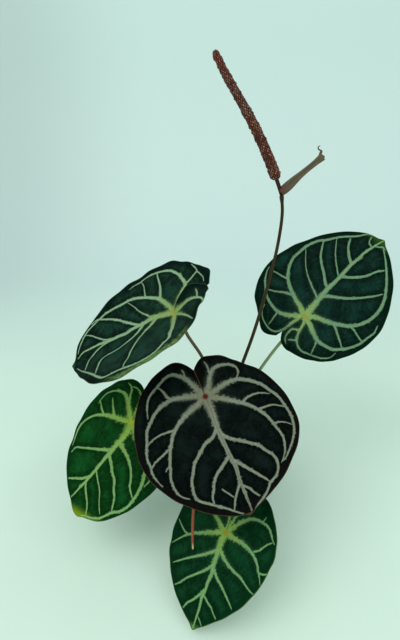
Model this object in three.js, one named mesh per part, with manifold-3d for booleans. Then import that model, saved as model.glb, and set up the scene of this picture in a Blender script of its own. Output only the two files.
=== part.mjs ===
// Potted anthurium hybrid: five velvet heart leaves, one flower spike and an aerial root
// growing from a short stem in a round pot. Millimetres, +Z up, the viewer's side is -Y,
// origin at the centre of the pot's underside.

import * as THREE from 'three';
import { mergeVertices } from 'three/addons/utils/BufferGeometryUtils.js';
import Module from 'manifold-3d';

const wasm = await Module();
wasm.setup();

// Driving dimensions

const SEAT_GAP = 0.3;

const POT = {
  floor: 2.6,
  rimRadius: 60, // outside of the rolled rim
  height: 105,
  baseRadius: 44,
  wall: 2.2,
  rimDepth: 14, // height of the stepped band under the lip
  rimStep: 2.6, // how far that band stands out from the wall
  sides: 40,
  drainRing: 29, // centres of the drain holes
  drainRadius: 5,
  drainHoles: 6,
};

const SOIL = {
  top: 92,
  sides: 32,
  chips: 44, // bark chips, half sunk in the surface
  chipLength: [6, 10], // half lengths
  chipWidth: [3.6, 6],
  chipHeight: [2, 3.6],
  chipRing: [18, 44], // nearest and furthest centre of a chip from the axis
  chipTilt: 0.5, // radians
  seed: 7,
};

const STEM = {
  foot: 58, // lower end, inside the soil
  neck: 104,
  top: 121,
  footRadius: 8.5,
  radius: 9.5,
  topRadius: 4.6,
  scars: 4,
  sides: 20,
};

const BLADE = {
  thickness: 0.9,
  sideSegments: 20, // from the tip round to the sinus
  rings: 6,
  tipCrowding: 1.2, // above 1, segments are closer together near the tip
  foldSoftness: 8, // half width over which the midrib fold is rounded
  foldNarrowing: 0.7, // share of the fold that narrows the blade in plan
  lobeSpan: [1.9, 3.0], // angle from the tip over which a lobe's lift sets in, radians
  waveSpan: [0.1, 0.7], // the same for the margin's waves
};

// Outline stations: angle about the junction, from the tip (0) to the sinus (180)
const STATIONS = [0, 12, 30, 55, 85, 115, 145, 165, 180];

// Each leaf. junction: where the petiole meets the blade. heading: compass of the midrib from
// the viewer's side toward +X. rise: its elevation. roll: about the midrib. fold: each half
// raised from the midrib. cup: sag of the halves. tipBend and lobeBend: curvature along the
// midrib, per metre. right and left: outline radii at the stations, with the angle at which
// that side meets the sinus. lift: height of that lobe over the other. via: petiole route.
// jointLean: how far the swollen joint leans from under the blade toward its lobes.
const LEAVES = {
  front: {
    junction: [-30, -75, 198], heading: 22, rise: -32, roll: -15,
    fold: 0, cup: 2.5, tipBend: 2, lobeBend: 1.5, wave: 1.6, waves: 7, phase: 0.4,
    right: { end: 174, lift: -1.5, radii: [128, 120, 112, 103, 87, 73, 62, 53, 36] },
    left: { end: 180, lift: 2.5, radii: [128, 119, 111, 101, 78, 59, 51, 46, 30] },
    via: [[-5, -18, 126], [-13, -42, 156]], jointLean: 0.2, color: 0x0a120d,
  },
  right: {
    junction: [93, 20, 244], heading: 90, rise: 50, roll: -55,
    fold: 0, cup: 2, tipBend: 2.4, lobeBend: 2, wave: 1.5, waves: 7, phase: 1.9,
    right: { end: 188, lift: 2, radii: [128, 115, 101, 85, 68, 57, 48, 44, 34] },
    left: { end: 167, lift: -1, radii: [128, 120, 106, 91, 84, 74, 62, 57, 44] },
    via: [[22, 9, 142], [53, 20, 188], [76, 26, 217]], jointLean: 1.1, color: 0x14382a,
  },
  upper: {
    junction: [-64, 0, 262], heading: -92, rise: -33, roll: 12,
    fold: 18, cup: 0.5, tipBend: -1, lobeBend: -1.5, wave: 1.8, waves: 6, phase: 3.2,
    right: { end: 170, lift: -1, radii: [146, 136, 121, 102, 88, 76, 68, 62, 46] },
    left: { end: 186, lift: 13, radii: [146, 134, 123, 109, 87, 67, 63, 58, 42] },
    via: [[-11, -1, 148], [-33, 0, 203], [-51, 0, 237]], jointLean: 0.3, color: 0x15402e,
  },
  left: {
    junction: [-121, -30, 129], heading: -34, rise: -28, roll: 2,
    fold: 2, cup: 2, tipBend: 1.5, lobeBend: 1, wave: 1.6, waves: 6, phase: 5.1,
    right: { end: 176, lift: 1.5, radii: [121, 109, 96, 84, 75, 75, 65, 51, 36] },
    left: { end: 178, lift: -1.5, radii: [121, 117, 104, 86, 74, 68, 60, 50, 34] },
    via: [[-36, -10, 122], [-72, -19, 128], [-102, -24, 124]], jointLean: 0.9, color: 0x1c5a24,
  },
  low: {
    junction: [-11, -138, 62], heading: -29, rise: -30, roll: -12,
    fold: 6, cup: 0.7, tipBend: 1.3, lobeBend: 1, wave: 1.2, waves: 6, phase: 2.2,
    right: { end: 176, lift: -1, radii: [96, 86, 77, 68, 64, 62, 58, 49, 34] },
    left: { end: 178, lift: 1.5, radii: [96, 85, 75, 67, 62, 58, 57, 48, 32] },
    via: [[-3, -36, 118], [-4, -62, 115], [-5, -80, 92], [-5, -97, 68], [-6, -114, 57]], jointLean: 1.1,
    color: 0x2b5e33,
  },
};

const PETIOLE = {
  sides: 8,
  baseRadius: 3.1,
  shaftRadius: 2.0,
  jointRadius: 2.7, // the swollen joint just under the blade
  jointLength: 13,
  baseShare: 0.35, // share of the length over which the foot tapers
  step: 11, // distance between sections
  seats: { front: [112, 2], right: [114, 2], upper: [117, 2], left: [107, 2], low: [103, 2] },
};

// Flower stalk, from the stem's top to the node that carries spathe and spike
const PEDUNCLE = {
  route: [
    [-1, 6, 113], [4, 5, 140], [16, 2, 186], [28, 0, 229], [38, 0, 270],
    [46, 0, 308], [52, 0, 344], [54.4, 0, 376], [52.4, 0, 395.6],
  ],
  baseRadius: 2.2,
  topRadius: 1.6,
  nodeRadius: 2.3,
  sides: 8,
  step: 12,
};

const SPADIX = {
  axis: [
    [52.2, 0, 396.5], [45, 0, 414], [37, 0, 432], [28, 0, 450], [18, 0, 468],
    [6, 0, 487], [-6, 0, 506], [-16, 0, 524],
  ],
  stipeLength: 17,
  stipeRadius: 1.8,
  baseRadius: 5.2,
  tipRadius: 3.1,
  floretsAround: 10,
  floretRows: 62,
  floretRelief: 0.55,
  shoulder: 0.025, // share of the spike that rounds off at its foot
  crown: 0.045, // and at its tip
};

const SPATHE = {
  spine: [[53.8, 0, 399.2], [59.5, 0, 405.5], [66, 0, 412], [74, 0, 419.5], [82, 0, 427], [90, 0, 435]],
  stations: [0, 0.07, 0.2, 0.45, 0.75, 1], // shares of the spine's length
  widths: [4.2, 10.6, 10.4, 7.8, 7.6, 8.4], // across the roll at the stations
  wrap: 250, // how far round the sheet is rolled, degrees
  thickness: 0.7,
  lengthSegments: 14,
  roundSegments: 10,
  overlap: 0.22, // how far one edge tucks inside the roll, share of its radius
  curl: 4.5, // how far the torn corner at the tip stands up
};

// Aerial root, from the stem over the rim and down in front of the low leaf
const ROOT = {
  route: [
    [-6, -7, 99], [-15, -30, 113], [-24, -57, 120], [-35, -92, 119], [-43, -120, 108],
    [-46, -138, 88], [-47, -147, 66], [-47, -149, 51],
  ],
  radius: 1.7,
  tipRadius: 0.9,
  sides: 8,
  step: 9,
};

// Solids and meshes

function merged(geometry) {
  geometry.deleteAttribute('normal');
  geometry.deleteAttribute('uv');
  return mergeVertices(geometry, 1e-4);
}

function solidOf(geometry) {
  const plain = merged(geometry);
  return new wasm.Manifold(new wasm.Mesh({
    numProp: 3,
    vertProperties: new Float32Array(plain.attributes.position.array),
    triVerts: new Uint32Array(plain.index.array),
  }));
}

function geometryOf(solid) {
  const mesh = solid.getMesh();
  const geometry = new THREE.BufferGeometry();
  geometry.setAttribute('position', new THREE.BufferAttribute(new Float32Array(mesh.vertProperties), 3));
  geometry.setIndex(new THREE.BufferAttribute(new Uint32Array(mesh.triVerts), 1));
  return geometry;
}

function geometryFrom(points, faces) {
  const geometry = new THREE.BufferGeometry();
  geometry.setAttribute('position', new THREE.Float32BufferAttribute(points.flatMap((p) => p.toArray()), 3));
  geometry.setIndex(faces.flat());
  return geometry;
}

function vector(triple) {
  return new THREE.Vector3(...triple);
}

function smoothstep(value, low, high) {
  return THREE.MathUtils.smoothstep(value, low, high);
}

// A piecewise cubic through evenly weighted stations
function interpolate(stations, values, at) {
  const last = stations.length - 1;
  const slope = (i) => {
    const low = Math.max(i - 1, 0);
    const high = Math.min(i + 1, last);
    return (values[high] - values[low]) / (stations[high] - stations[low]);
  };
  let i = 0;
  while (i < last - 1 && at > stations[i + 1]) i += 1;
  const width = stations[i + 1] - stations[i];
  const t = THREE.MathUtils.clamp((at - stations[i]) / width, 0, 1);
  const rest = 1 - t;
  return values[i] * (1 + 2 * t) * rest * rest + values[i + 1] * t * t * (3 - 2 * t)
    + width * (slope(i) * t * rest * rest - slope(i + 1) * t * t * rest);
}

// Leaves

function leafFrame(leaf) {
  const heading = THREE.MathUtils.degToRad(leaf.heading);
  const rise = THREE.MathUtils.degToRad(leaf.rise);
  const midrib = new THREE.Vector3(
    Math.sin(heading) * Math.cos(rise), -Math.cos(heading) * Math.cos(rise), Math.sin(rise),
  );
  const side = new THREE.Vector3(Math.cos(heading), Math.sin(heading), 0);
  const face = new THREE.Vector3().crossVectors(side, midrib);
  if (face.z < 0) {
    side.negate();
    face.negate();
  }
  const roll = THREE.MathUtils.degToRad(leaf.roll);
  const right = side.clone().multiplyScalar(Math.cos(roll)).addScaledVector(face, Math.sin(roll));
  const normal = face.clone().multiplyScalar(Math.cos(roll)).addScaledVector(side, -Math.sin(roll));
  return { right, midrib, normal };
}

// Height of the blade over its own flat plan, at angle (radians, right positive) and share of the
// way out to the margin
function bladeHeight(leaf, x, angle, share) {
  const soft = BLADE.foldSoftness;
  const half = angle < 0 ? leaf.left : leaf.right;
  const folded = Math.tan(THREE.MathUtils.degToRad(leaf.fold)) * (Math.hypot(x, soft) - soft);
  const sagged = leaf.cup * x * x / 1000;
  const lobe = smoothstep(Math.abs(angle), ...BLADE.lobeSpan) * share * share * half.lift;
  const waved = leaf.wave * share ** 3 * Math.sin(leaf.waves * angle + leaf.phase)
    * smoothstep(Math.abs(angle), ...BLADE.waveSpan);
  return folded - sagged + lobe + waved;
}

function bladePoint(leaf, frame, angle, share) {
  const half = angle < 0 ? leaf.left : leaf.right;
  const degrees = THREE.MathUtils.radToDeg(Math.abs(angle));
  const reach = share * interpolate(STATIONS, half.radii, degrees * 180 / half.end);
  const x = reach * Math.sin(angle);
  const y = reach * Math.cos(angle);
  const height = bladeHeight(leaf, x, angle, share);
  const bend = (y > 0 ? leaf.tipBend : leaf.lobeBend) / 1000;
  const turn = bend * y;
  const across = x * Math.cos(THREE.MathUtils.degToRad(BLADE.foldNarrowing * leaf.fold));
  const along = Math.sin(turn) / bend + height * Math.sin(turn);
  const up = -(1 - Math.cos(turn)) / bend + height * Math.cos(turn);
  return vector(leaf.junction)
    .addScaledVector(frame.right, across)
    .addScaledVector(frame.midrib, along)
    .addScaledVector(frame.normal, up);
}

function bladeNormal(leaf, frame, angle, share) {
  const step = 0.02;
  const out = bladePoint(leaf, frame, angle, share + step).sub(bladePoint(leaf, frame, angle, share - step));
  const round = bladePoint(leaf, frame, angle + step, share).sub(bladePoint(leaf, frame, angle - step, share));
  return round.cross(out).normalize();
}

function bladeAngles(leaf) {
  const angles = [];
  for (let i = -BLADE.sideSegments; i <= BLADE.sideSegments; i += 1) {
    const half = i < 0 ? leaf.left : leaf.right;
    const share = (Math.abs(i) / BLADE.sideSegments) ** BLADE.tipCrowding;
    angles.push(Math.sign(i) * share * THREE.MathUtils.degToRad(half.end));
  }
  return angles;
}

// A thin closed sheet in rings about the junction, both faces split alike
function bladeGeometry(leaf) {
  const frame = leafFrame(leaf);
  const angles = bladeAngles(leaf);
  const around = angles.length;
  const points = [];
  const addPair = (middle, normal) => {
    points.push(middle.clone().addScaledVector(normal, BLADE.thickness / 2));
    points.push(middle.clone().addScaledVector(normal, -BLADE.thickness / 2));
  };
  addPair(vector(leaf.junction), frame.normal);
  for (let ring = 1; ring <= BLADE.rings; ring += 1) {
    const share = ring / BLADE.rings;
    for (const angle of angles) {
      addPair(bladePoint(leaf, frame, angle, share), bladeNormal(leaf, frame, angle, share));
    }
  }
  const index = (ring, i) => (ring === 0 ? 0 : 2 * (1 + (ring - 1) * around + i));
  const faces = [];
  const addBoth = (a, b, c) => faces.push([a, b, c], [a + 1, c + 1, b + 1]);
  const addWall = (a, b) => faces.push([a, a + 1, b + 1], [a, b + 1, b]);
  for (let i = 0; i < around - 1; i += 1) {
    addBoth(0, index(1, i + 1), index(1, i));
    for (let ring = 1; ring < BLADE.rings; ring += 1) {
      const corners = [index(ring, i), index(ring, i + 1), index(ring + 1, i + 1), index(ring + 1, i)];
      addBoth(corners[0], corners[1], corners[2]);
      addBoth(corners[0], corners[2], corners[3]);
    }
    addWall(index(BLADE.rings, i + 1), index(BLADE.rings, i));
  }
  for (let ring = 0; ring < BLADE.rings; ring += 1) {
    addWall(index(ring + 1, 0), index(ring, 0));
    addWall(index(ring, around - 1), index(ring + 1, around - 1));
  }
  return geometryFrom(points, faces);
}

// Stalks

function circle(sides) {
  const shape = new THREE.Shape();
  shape.setFromPoints(Array.from({ length: sides }, (_, i) => {
    const angle = i * 2 * Math.PI / sides;
    return new THREE.Vector2(Math.cos(angle), Math.sin(angle));
  }));
  return shape;
}

// A round stalk along a route, whose radius follows its length from 0 to 1
function stalkGeometry(route, radiusAt, sides, step) {
  const curve = new THREE.CatmullRomCurve3(route);
  const steps = Math.max(4, Math.round(curve.getLength() / step));
  const geometry = merged(new THREE.ExtrudeGeometry(circle(sides), {
    steps, bevelEnabled: false, extrudePath: curve,
  }));
  const centres = curve.getSpacedPoints(steps);
  const position = geometry.attributes.position;
  const point = new THREE.Vector3();
  for (let i = 0; i < position.count; i += 1) {
    point.fromBufferAttribute(position, i);
    const distances = centres.map((centre) => Math.abs(centre.distanceTo(point) - 1));
    const ring = distances.indexOf(Math.min(...distances));
    point.sub(centres[ring]).multiplyScalar(radiusAt(ring / steps)).add(centres[ring]);
    position.setXYZ(i, point.x, point.y, point.z);
  }
  return geometry;
}

function petioleGeometry(name, leaf, stemSolid) {
  const frame = leafFrame(leaf);
  const junction = vector(leaf.junction);
  const [seatHeight, seatReach] = PETIOLE.seats[name];
  const toward = vector(leaf.via[0]).setZ(0).normalize();
  const seat = toward.multiplyScalar(seatReach).setZ(seatHeight);
  const under = BLADE.thickness / 2 + SEAT_GAP;
  const route = [seat, ...leaf.via.map(vector)];
  const back = frame.normal.clone().addScaledVector(frame.midrib, leaf.jointLean).normalize();
  route.push(junction.clone().addScaledVector(back, -PETIOLE.jointLength));
  route.push(junction.clone().addScaledVector(back, 2));
  const length = new THREE.CatmullRomCurve3(route).getLength();
  const radiusAt = (share) => {
    const left = length * (1 - share);
    const joint = smoothstep(PETIOLE.jointLength * 1.4 - left, 0, PETIOLE.jointLength * 0.6);
    const base = 1 - smoothstep(share, 0, PETIOLE.baseShare);
    return PETIOLE.shaftRadius + joint * (PETIOLE.jointRadius - PETIOLE.shaftRadius)
      + base * (PETIOLE.baseRadius - PETIOLE.shaftRadius);
  };
  const stalk = solidOf(stalkGeometry(route, radiusAt, PETIOLE.sides, PETIOLE.step));
  const block = PETIOLE.jointRadius * 8;
  const trim = new THREE.BoxGeometry(block, block, block).translate(0, 0, block / 2 - under);
  trim.applyMatrix4(new THREE.Matrix4().makeBasis(frame.right, frame.midrib, frame.normal));
  trim.translate(junction.x, junction.y, junction.z);
  return geometryOf(stalk.subtract(stemSolid).subtract(solidOf(trim)));
}

function peduncleGeometry(stemSolid) {
  const radiusAt = (share) => THREE.MathUtils.lerp(PEDUNCLE.baseRadius, PEDUNCLE.topRadius, share)
    + smoothstep(share, 0.97, 1) * (PEDUNCLE.nodeRadius - PEDUNCLE.topRadius);
  const route = PEDUNCLE.route.map(vector);
  const stalk = solidOf(stalkGeometry(route, radiusAt, PEDUNCLE.sides, PEDUNCLE.step));
  return geometryOf(stalk.subtract(stemSolid));
}

function rootGeometry(stemSolid) {
  const radiusAt = (share) => THREE.MathUtils.lerp(
    ROOT.radius, ROOT.tipRadius, smoothstep(share, 0.9, 1),
  );
  const stalk = solidOf(stalkGeometry(ROOT.route.map(vector), radiusAt, ROOT.sides, ROOT.step));
  return geometryOf(stalk.subtract(stemSolid));
}

// The stem, grown by the margin for the holes and seats that clear it
function stemGeometry(margin) {
  const profile = [new THREE.Vector2(0, STEM.foot - margin)];
  profile.push(new THREE.Vector2(STEM.footRadius + margin - 2, STEM.foot - margin));
  const scarSpan = (STEM.neck - STEM.foot) / STEM.scars;
  for (let scar = 0; scar < STEM.scars; scar += 1) {
    const share = scar / STEM.scars;
    const radius = THREE.MathUtils.lerp(STEM.footRadius, STEM.radius, share) + margin;
    profile.push(new THREE.Vector2(radius, STEM.foot + scarSpan * (scar + 0.3)));
    profile.push(new THREE.Vector2(radius + 0.7, STEM.foot + scarSpan * (scar + 0.8)));
  }
  profile.push(new THREE.Vector2(STEM.radius + margin, STEM.neck));
  profile.push(new THREE.Vector2(STEM.radius - 1.2 + margin, STEM.neck + 9));
  profile.push(new THREE.Vector2(STEM.topRadius + margin, STEM.top + margin));
  profile.push(new THREE.Vector2(0, STEM.top + margin));
  return new THREE.LatheGeometry(profile, STEM.sides).rotateX(Math.PI / 2);
}

// Flower spike: a short stipe, then a tapered spike with raised florets in alternate rows
function spadixGeometry() {
  const curve = new THREE.CatmullRomCurve3(SPADIX.axis.map(vector));
  const length = curve.getLength();
  const spikeStart = SPADIX.stipeLength / length;
  const tipMargin = 0.004;
  const spikeShare = 1 - spikeStart - tipMargin;
  const across = SPADIX.floretsAround * 2;
  const profile = [new THREE.Vector2(0, 0), new THREE.Vector2(SPADIX.stipeRadius, 0)];
  profile.push(new THREE.Vector2(SPADIX.stipeRadius, spikeStart - tipMargin * 4));
  for (let row = 0; row <= SPADIX.floretRows; row += 1) {
    const share = row / SPADIX.floretRows;
    const taper = THREE.MathUtils.lerp(SPADIX.baseRadius, SPADIX.tipRadius, share);
    const foot = Math.sqrt(smoothstep(share, -SPADIX.shoulder, SPADIX.shoulder));
    const crown = Math.sqrt(1 - smoothstep(share, 1 - SPADIX.crown, 1 + SPADIX.crown / 8));
    profile.push(new THREE.Vector2(taper * foot * crown, spikeStart + spikeShare * share));
  }
  profile.push(new THREE.Vector2(0, 1));
  const lathe = merged(new THREE.LatheGeometry(profile, across));
  const position = lathe.attributes.position;
  const point = new THREE.Vector3();
  for (let i = 0; i < position.count; i += 1) {
    point.fromBufferAttribute(position, i);
    const radius = Math.hypot(point.x, point.z);
    const angle = Math.atan2(point.z, point.x);
    const row = Math.round((point.y - spikeStart) / spikeShare * SPADIX.floretRows);
    const column = Math.round(angle / (2 * Math.PI) * across);
    const onSpike = row > 0 && row < SPADIX.floretRows && radius > 1;
    const raised = onSpike && (row + column) % 2 === 0 ? SPADIX.floretRelief : 0;
    const centre = curve.getPointAt(THREE.MathUtils.clamp(point.y, 0, 1));
    const along = curve.getTangentAt(THREE.MathUtils.clamp(point.y, 0, 1));
    const sideways = new THREE.Vector3(0, 1, 0);
    const front = new THREE.Vector3().crossVectors(along, sideways).normalize();
    centre.addScaledVector(sideways, Math.sin(angle) * (radius + raised));
    centre.addScaledVector(front, Math.cos(angle) * (radius + raised));
    position.setXYZ(i, centre.x, centre.y, centre.z);
  }
  return lathe;
}

// Dried spathe: a strap rolled back on itself, open along one side, with a curled tip
function spatheGeometry() {
  const spine = new THREE.CatmullRomCurve3(SPATHE.spine.map(vector));
  const wrap = THREE.MathUtils.degToRad(SPATHE.wrap);
  const sideways = new THREE.Vector3(0, 1, 0);
  const points = [];
  for (let i = 0; i <= SPATHE.lengthSegments; i += 1) {
    const share = i / SPATHE.lengthSegments;
    const centre = spine.getPointAt(share);
    const up = new THREE.Vector3().crossVectors(spine.getTangentAt(share), sideways).normalize();
    const radius = interpolate(SPATHE.stations, SPATHE.widths, share) / 2;
    for (let j = 0; j <= SPATHE.roundSegments; j += 1) {
      const across = j / SPATHE.roundSegments - 0.5;
      const angle = across * wrap;
      const tuck = 1 - SPATHE.overlap * smoothstep(across, 0.1, 0.5);
      const outward = up.clone().multiplyScalar(-Math.cos(angle)).addScaledVector(sideways, -Math.sin(angle));
      const corner = share === 1 ? SPATHE.curl * smoothstep(across, 0.15, 0.5) : 0;
      const middle = centre.clone().addScaledVector(outward, radius * tuck - SPATHE.thickness / 2)
        .addScaledVector(up, corner);
      points.push(middle.clone().addScaledVector(outward, SPATHE.thickness / 2));
      points.push(middle.clone().addScaledVector(outward, -SPATHE.thickness / 2));
    }
  }
  const around = SPATHE.roundSegments + 1;
  const index = (i, j) => 2 * (i * around + j);
  const faces = [];
  const addWall = (a, b) => faces.push([a, a + 1, b + 1], [a, b + 1, b]);
  for (let i = 0; i < SPATHE.lengthSegments; i += 1) {
    for (let j = 0; j < SPATHE.roundSegments; j += 1) {
      const corners = [index(i, j), index(i, j + 1), index(i + 1, j + 1), index(i + 1, j)];
      faces.push([corners[0], corners[1], corners[2]], [corners[0], corners[2], corners[3]]);
      const under = corners.map((corner) => corner + 1);
      faces.push([under[0], under[2], under[1]], [under[0], under[3], under[2]]);
    }
    addWall(index(i + 1, 0), index(i, 0));
    addWall(index(i, SPATHE.roundSegments), index(i + 1, SPATHE.roundSegments));
  }
  for (let j = 0; j < SPATHE.roundSegments; j += 1) {
    addWall(index(0, j), index(0, j + 1));
    addWall(index(SPATHE.lengthSegments, j + 1), index(SPATHE.lengthSegments, j));
  }
  return geometryFrom(points, faces.map((face) => [face[0], face[2], face[1]]));
}

// Pot and soil

function wallRadius(height) {
  const underRim = POT.rimRadius - POT.rimStep - 1;
  return THREE.MathUtils.lerp(POT.baseRadius, underRim, height / POT.height);
}

function potGeometry() {
  const rimFoot = POT.height - POT.rimDepth;
  const corners = [
    [0, 0], [POT.baseRadius - 2, 0], [POT.baseRadius, 2], [wallRadius(rimFoot), rimFoot],
    [POT.rimRadius - 1, rimFoot + 1], [POT.rimRadius - 0.4, POT.height - 3.4],
    [POT.rimRadius, POT.height - 2.2], [POT.rimRadius - 0.5, POT.height - 0.5],
    [POT.rimRadius - 1.8, POT.height], [POT.rimRadius - 3.2, POT.height - 0.8],
    [wallRadius(rimFoot) - 0.6, rimFoot + 2], [wallRadius(rimFoot) - POT.wall, rimFoot - 2],
    [wallRadius(POT.floor) - POT.wall - 2, POT.floor], [0, POT.floor],
  ];
  const profile = corners.map(([radius, height]) => new THREE.Vector2(radius, height));
  let pot = solidOf(new THREE.LatheGeometry(profile, POT.sides).rotateX(Math.PI / 2));
  for (let i = 0; i < POT.drainHoles; i += 1) {
    const angle = (i + 0.5) * 2 * Math.PI / POT.drainHoles;
    const drill = new THREE.CylinderGeometry(POT.drainRadius, POT.drainRadius, 12, 12).rotateX(Math.PI / 2);
    drill.translate(POT.drainRing * Math.cos(angle), POT.drainRing * Math.sin(angle), 0);
    pot = pot.subtract(solidOf(drill));
  }
  return geometryOf(pot);
}

// Seeded draw between 0 and 1
function seededRandom(seed) {
  let state = seed;
  return () => {
    state = (state * 1664525 + 1013904223) % 4294967296;
    return state / 4294967296;
  };
}

// Coarse bark mix: a filled pot shape with chips half sunk in its surface
function soilGeometry(stemSolid) {
  const foot = POT.floor + SEAT_GAP;
  const insideWall = (height) => wallRadius(height) - POT.wall - SEAT_GAP;
  const shoulder = POT.height - POT.rimDepth - 5;
  const profile = [
    [0, foot], [insideWall(foot) - 2.2, foot], [insideWall(shoulder) - 0.4, shoulder],
    [insideWall(SOIL.top) - 0.9, SOIL.top - 2], [insideWall(SOIL.top) - 8, SOIL.top], [0, SOIL.top],
  ];
  const outline = profile.map(([radius, height]) => new THREE.Vector2(radius, height));
  let soil = solidOf(new THREE.LatheGeometry(outline, SOIL.sides).rotateX(Math.PI / 2));
  const random = seededRandom(SOIL.seed);
  const between = ([low, high]) => low + (high - low) * random();
  for (let i = 0; i < SOIL.chips; i += 1) {
    const share = (i + 0.5) / SOIL.chips;
    const reach = Math.hypot(SOIL.chipRing[0] * Math.sqrt(1 - share), SOIL.chipRing[1] * Math.sqrt(share));
    const angle = i * Math.PI * (3 - Math.sqrt(5));
    const chip = new THREE.IcosahedronGeometry(1, 0);
    chip.scale(between(SOIL.chipLength), between(SOIL.chipWidth), between(SOIL.chipHeight));
    chip.rotateX((random() - 0.5) * 2 * SOIL.chipTilt);
    chip.rotateY((random() - 0.5) * 2 * SOIL.chipTilt);
    chip.rotateZ(random() * Math.PI * 2);
    chip.translate(reach * Math.cos(angle), reach * Math.sin(angle), SOIL.top + random());
    soil = soil.add(solidOf(chip));
  }
  return geometryOf(soil.subtract(stemSolid));
}

// Assembly

const plant = new THREE.Group();

function addPiece(name, geometry, color, roughness) {
  const mesh = new THREE.Mesh(geometry, new THREE.MeshStandardMaterial({ color, roughness, metalness: 0 }));
  mesh.name = name;
  plant.add(mesh);
}

const clearance = solidOf(stemGeometry(SEAT_GAP));

addPiece('pot', potGeometry(), 0x24211f, 0.55);
addPiece('soil', soilGeometry(clearance), 0x3b2a1d, 0.95);
addPiece('stem', merged(stemGeometry(0)), 0x5a4a30, 0.8);
for (const [name, leaf] of Object.entries(LEAVES)) {
  addPiece(`petiole_${name}`, petioleGeometry(name, leaf, clearance), 0x5d6b3c, 0.6);
  addPiece(`blade_${name}`, bladeGeometry(leaf), leaf.color, 0.65);
}
addPiece('peduncle', peduncleGeometry(clearance), 0x2f3a1c, 0.55);
addPiece('spathe', spatheGeometry(), 0x5a5344, 0.75);
addPiece('spadix', spadixGeometry(), 0x5e3a33, 0.8);
addPiece('aerial_root', rootGeometry(clearance), 0xb5613a, 0.7);

export default plant;
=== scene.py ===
"""Potted anthurium hybrid: velvet heart leaves, one flower spike and an aerial root in a round pot.

Metres, +Z up, the viewer's side is -Y. Plant dimensions are written in millimetres.
"""
import math
import random

import bmesh
import bpy
import numpy as np
from bpy.props import FloatProperty, FloatVectorProperty, IntProperty, PointerProperty
from mathutils import Matrix, Vector


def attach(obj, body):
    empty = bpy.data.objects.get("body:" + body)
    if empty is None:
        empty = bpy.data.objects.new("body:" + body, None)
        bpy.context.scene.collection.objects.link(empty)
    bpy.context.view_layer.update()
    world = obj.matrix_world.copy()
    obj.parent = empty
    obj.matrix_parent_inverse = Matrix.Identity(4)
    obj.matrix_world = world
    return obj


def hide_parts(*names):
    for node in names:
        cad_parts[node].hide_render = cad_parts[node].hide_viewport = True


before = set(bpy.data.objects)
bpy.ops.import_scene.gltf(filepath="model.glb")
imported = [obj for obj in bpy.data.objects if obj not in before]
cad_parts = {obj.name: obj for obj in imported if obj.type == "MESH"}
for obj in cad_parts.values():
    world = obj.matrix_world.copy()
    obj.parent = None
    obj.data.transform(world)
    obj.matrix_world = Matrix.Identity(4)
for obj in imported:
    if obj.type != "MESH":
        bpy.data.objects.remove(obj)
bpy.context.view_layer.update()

bl_info = {
    "name": "Potted Anthurium",
    "version": (1, 0, 0),
    "blender": (4, 5, 0),
    "location": "3D View > Sidebar > Anthurium",
    "description": "Builds a potted velvet-leaved anthurium piece by piece, with its finishes and stage",
    "category": "Add Mesh",
}

MM = 0.001
TURN = 2 * math.pi
GOLDEN_ANGLE = math.pi * (3 - math.sqrt(5))


# Leaves, in millimetres and degrees

# Outline stations: angle about the junction, from the tip (0) to the sinus (180)
STATIONS = (0, 12, 30, 55, 85, 115, 145, 165, 180)

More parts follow.
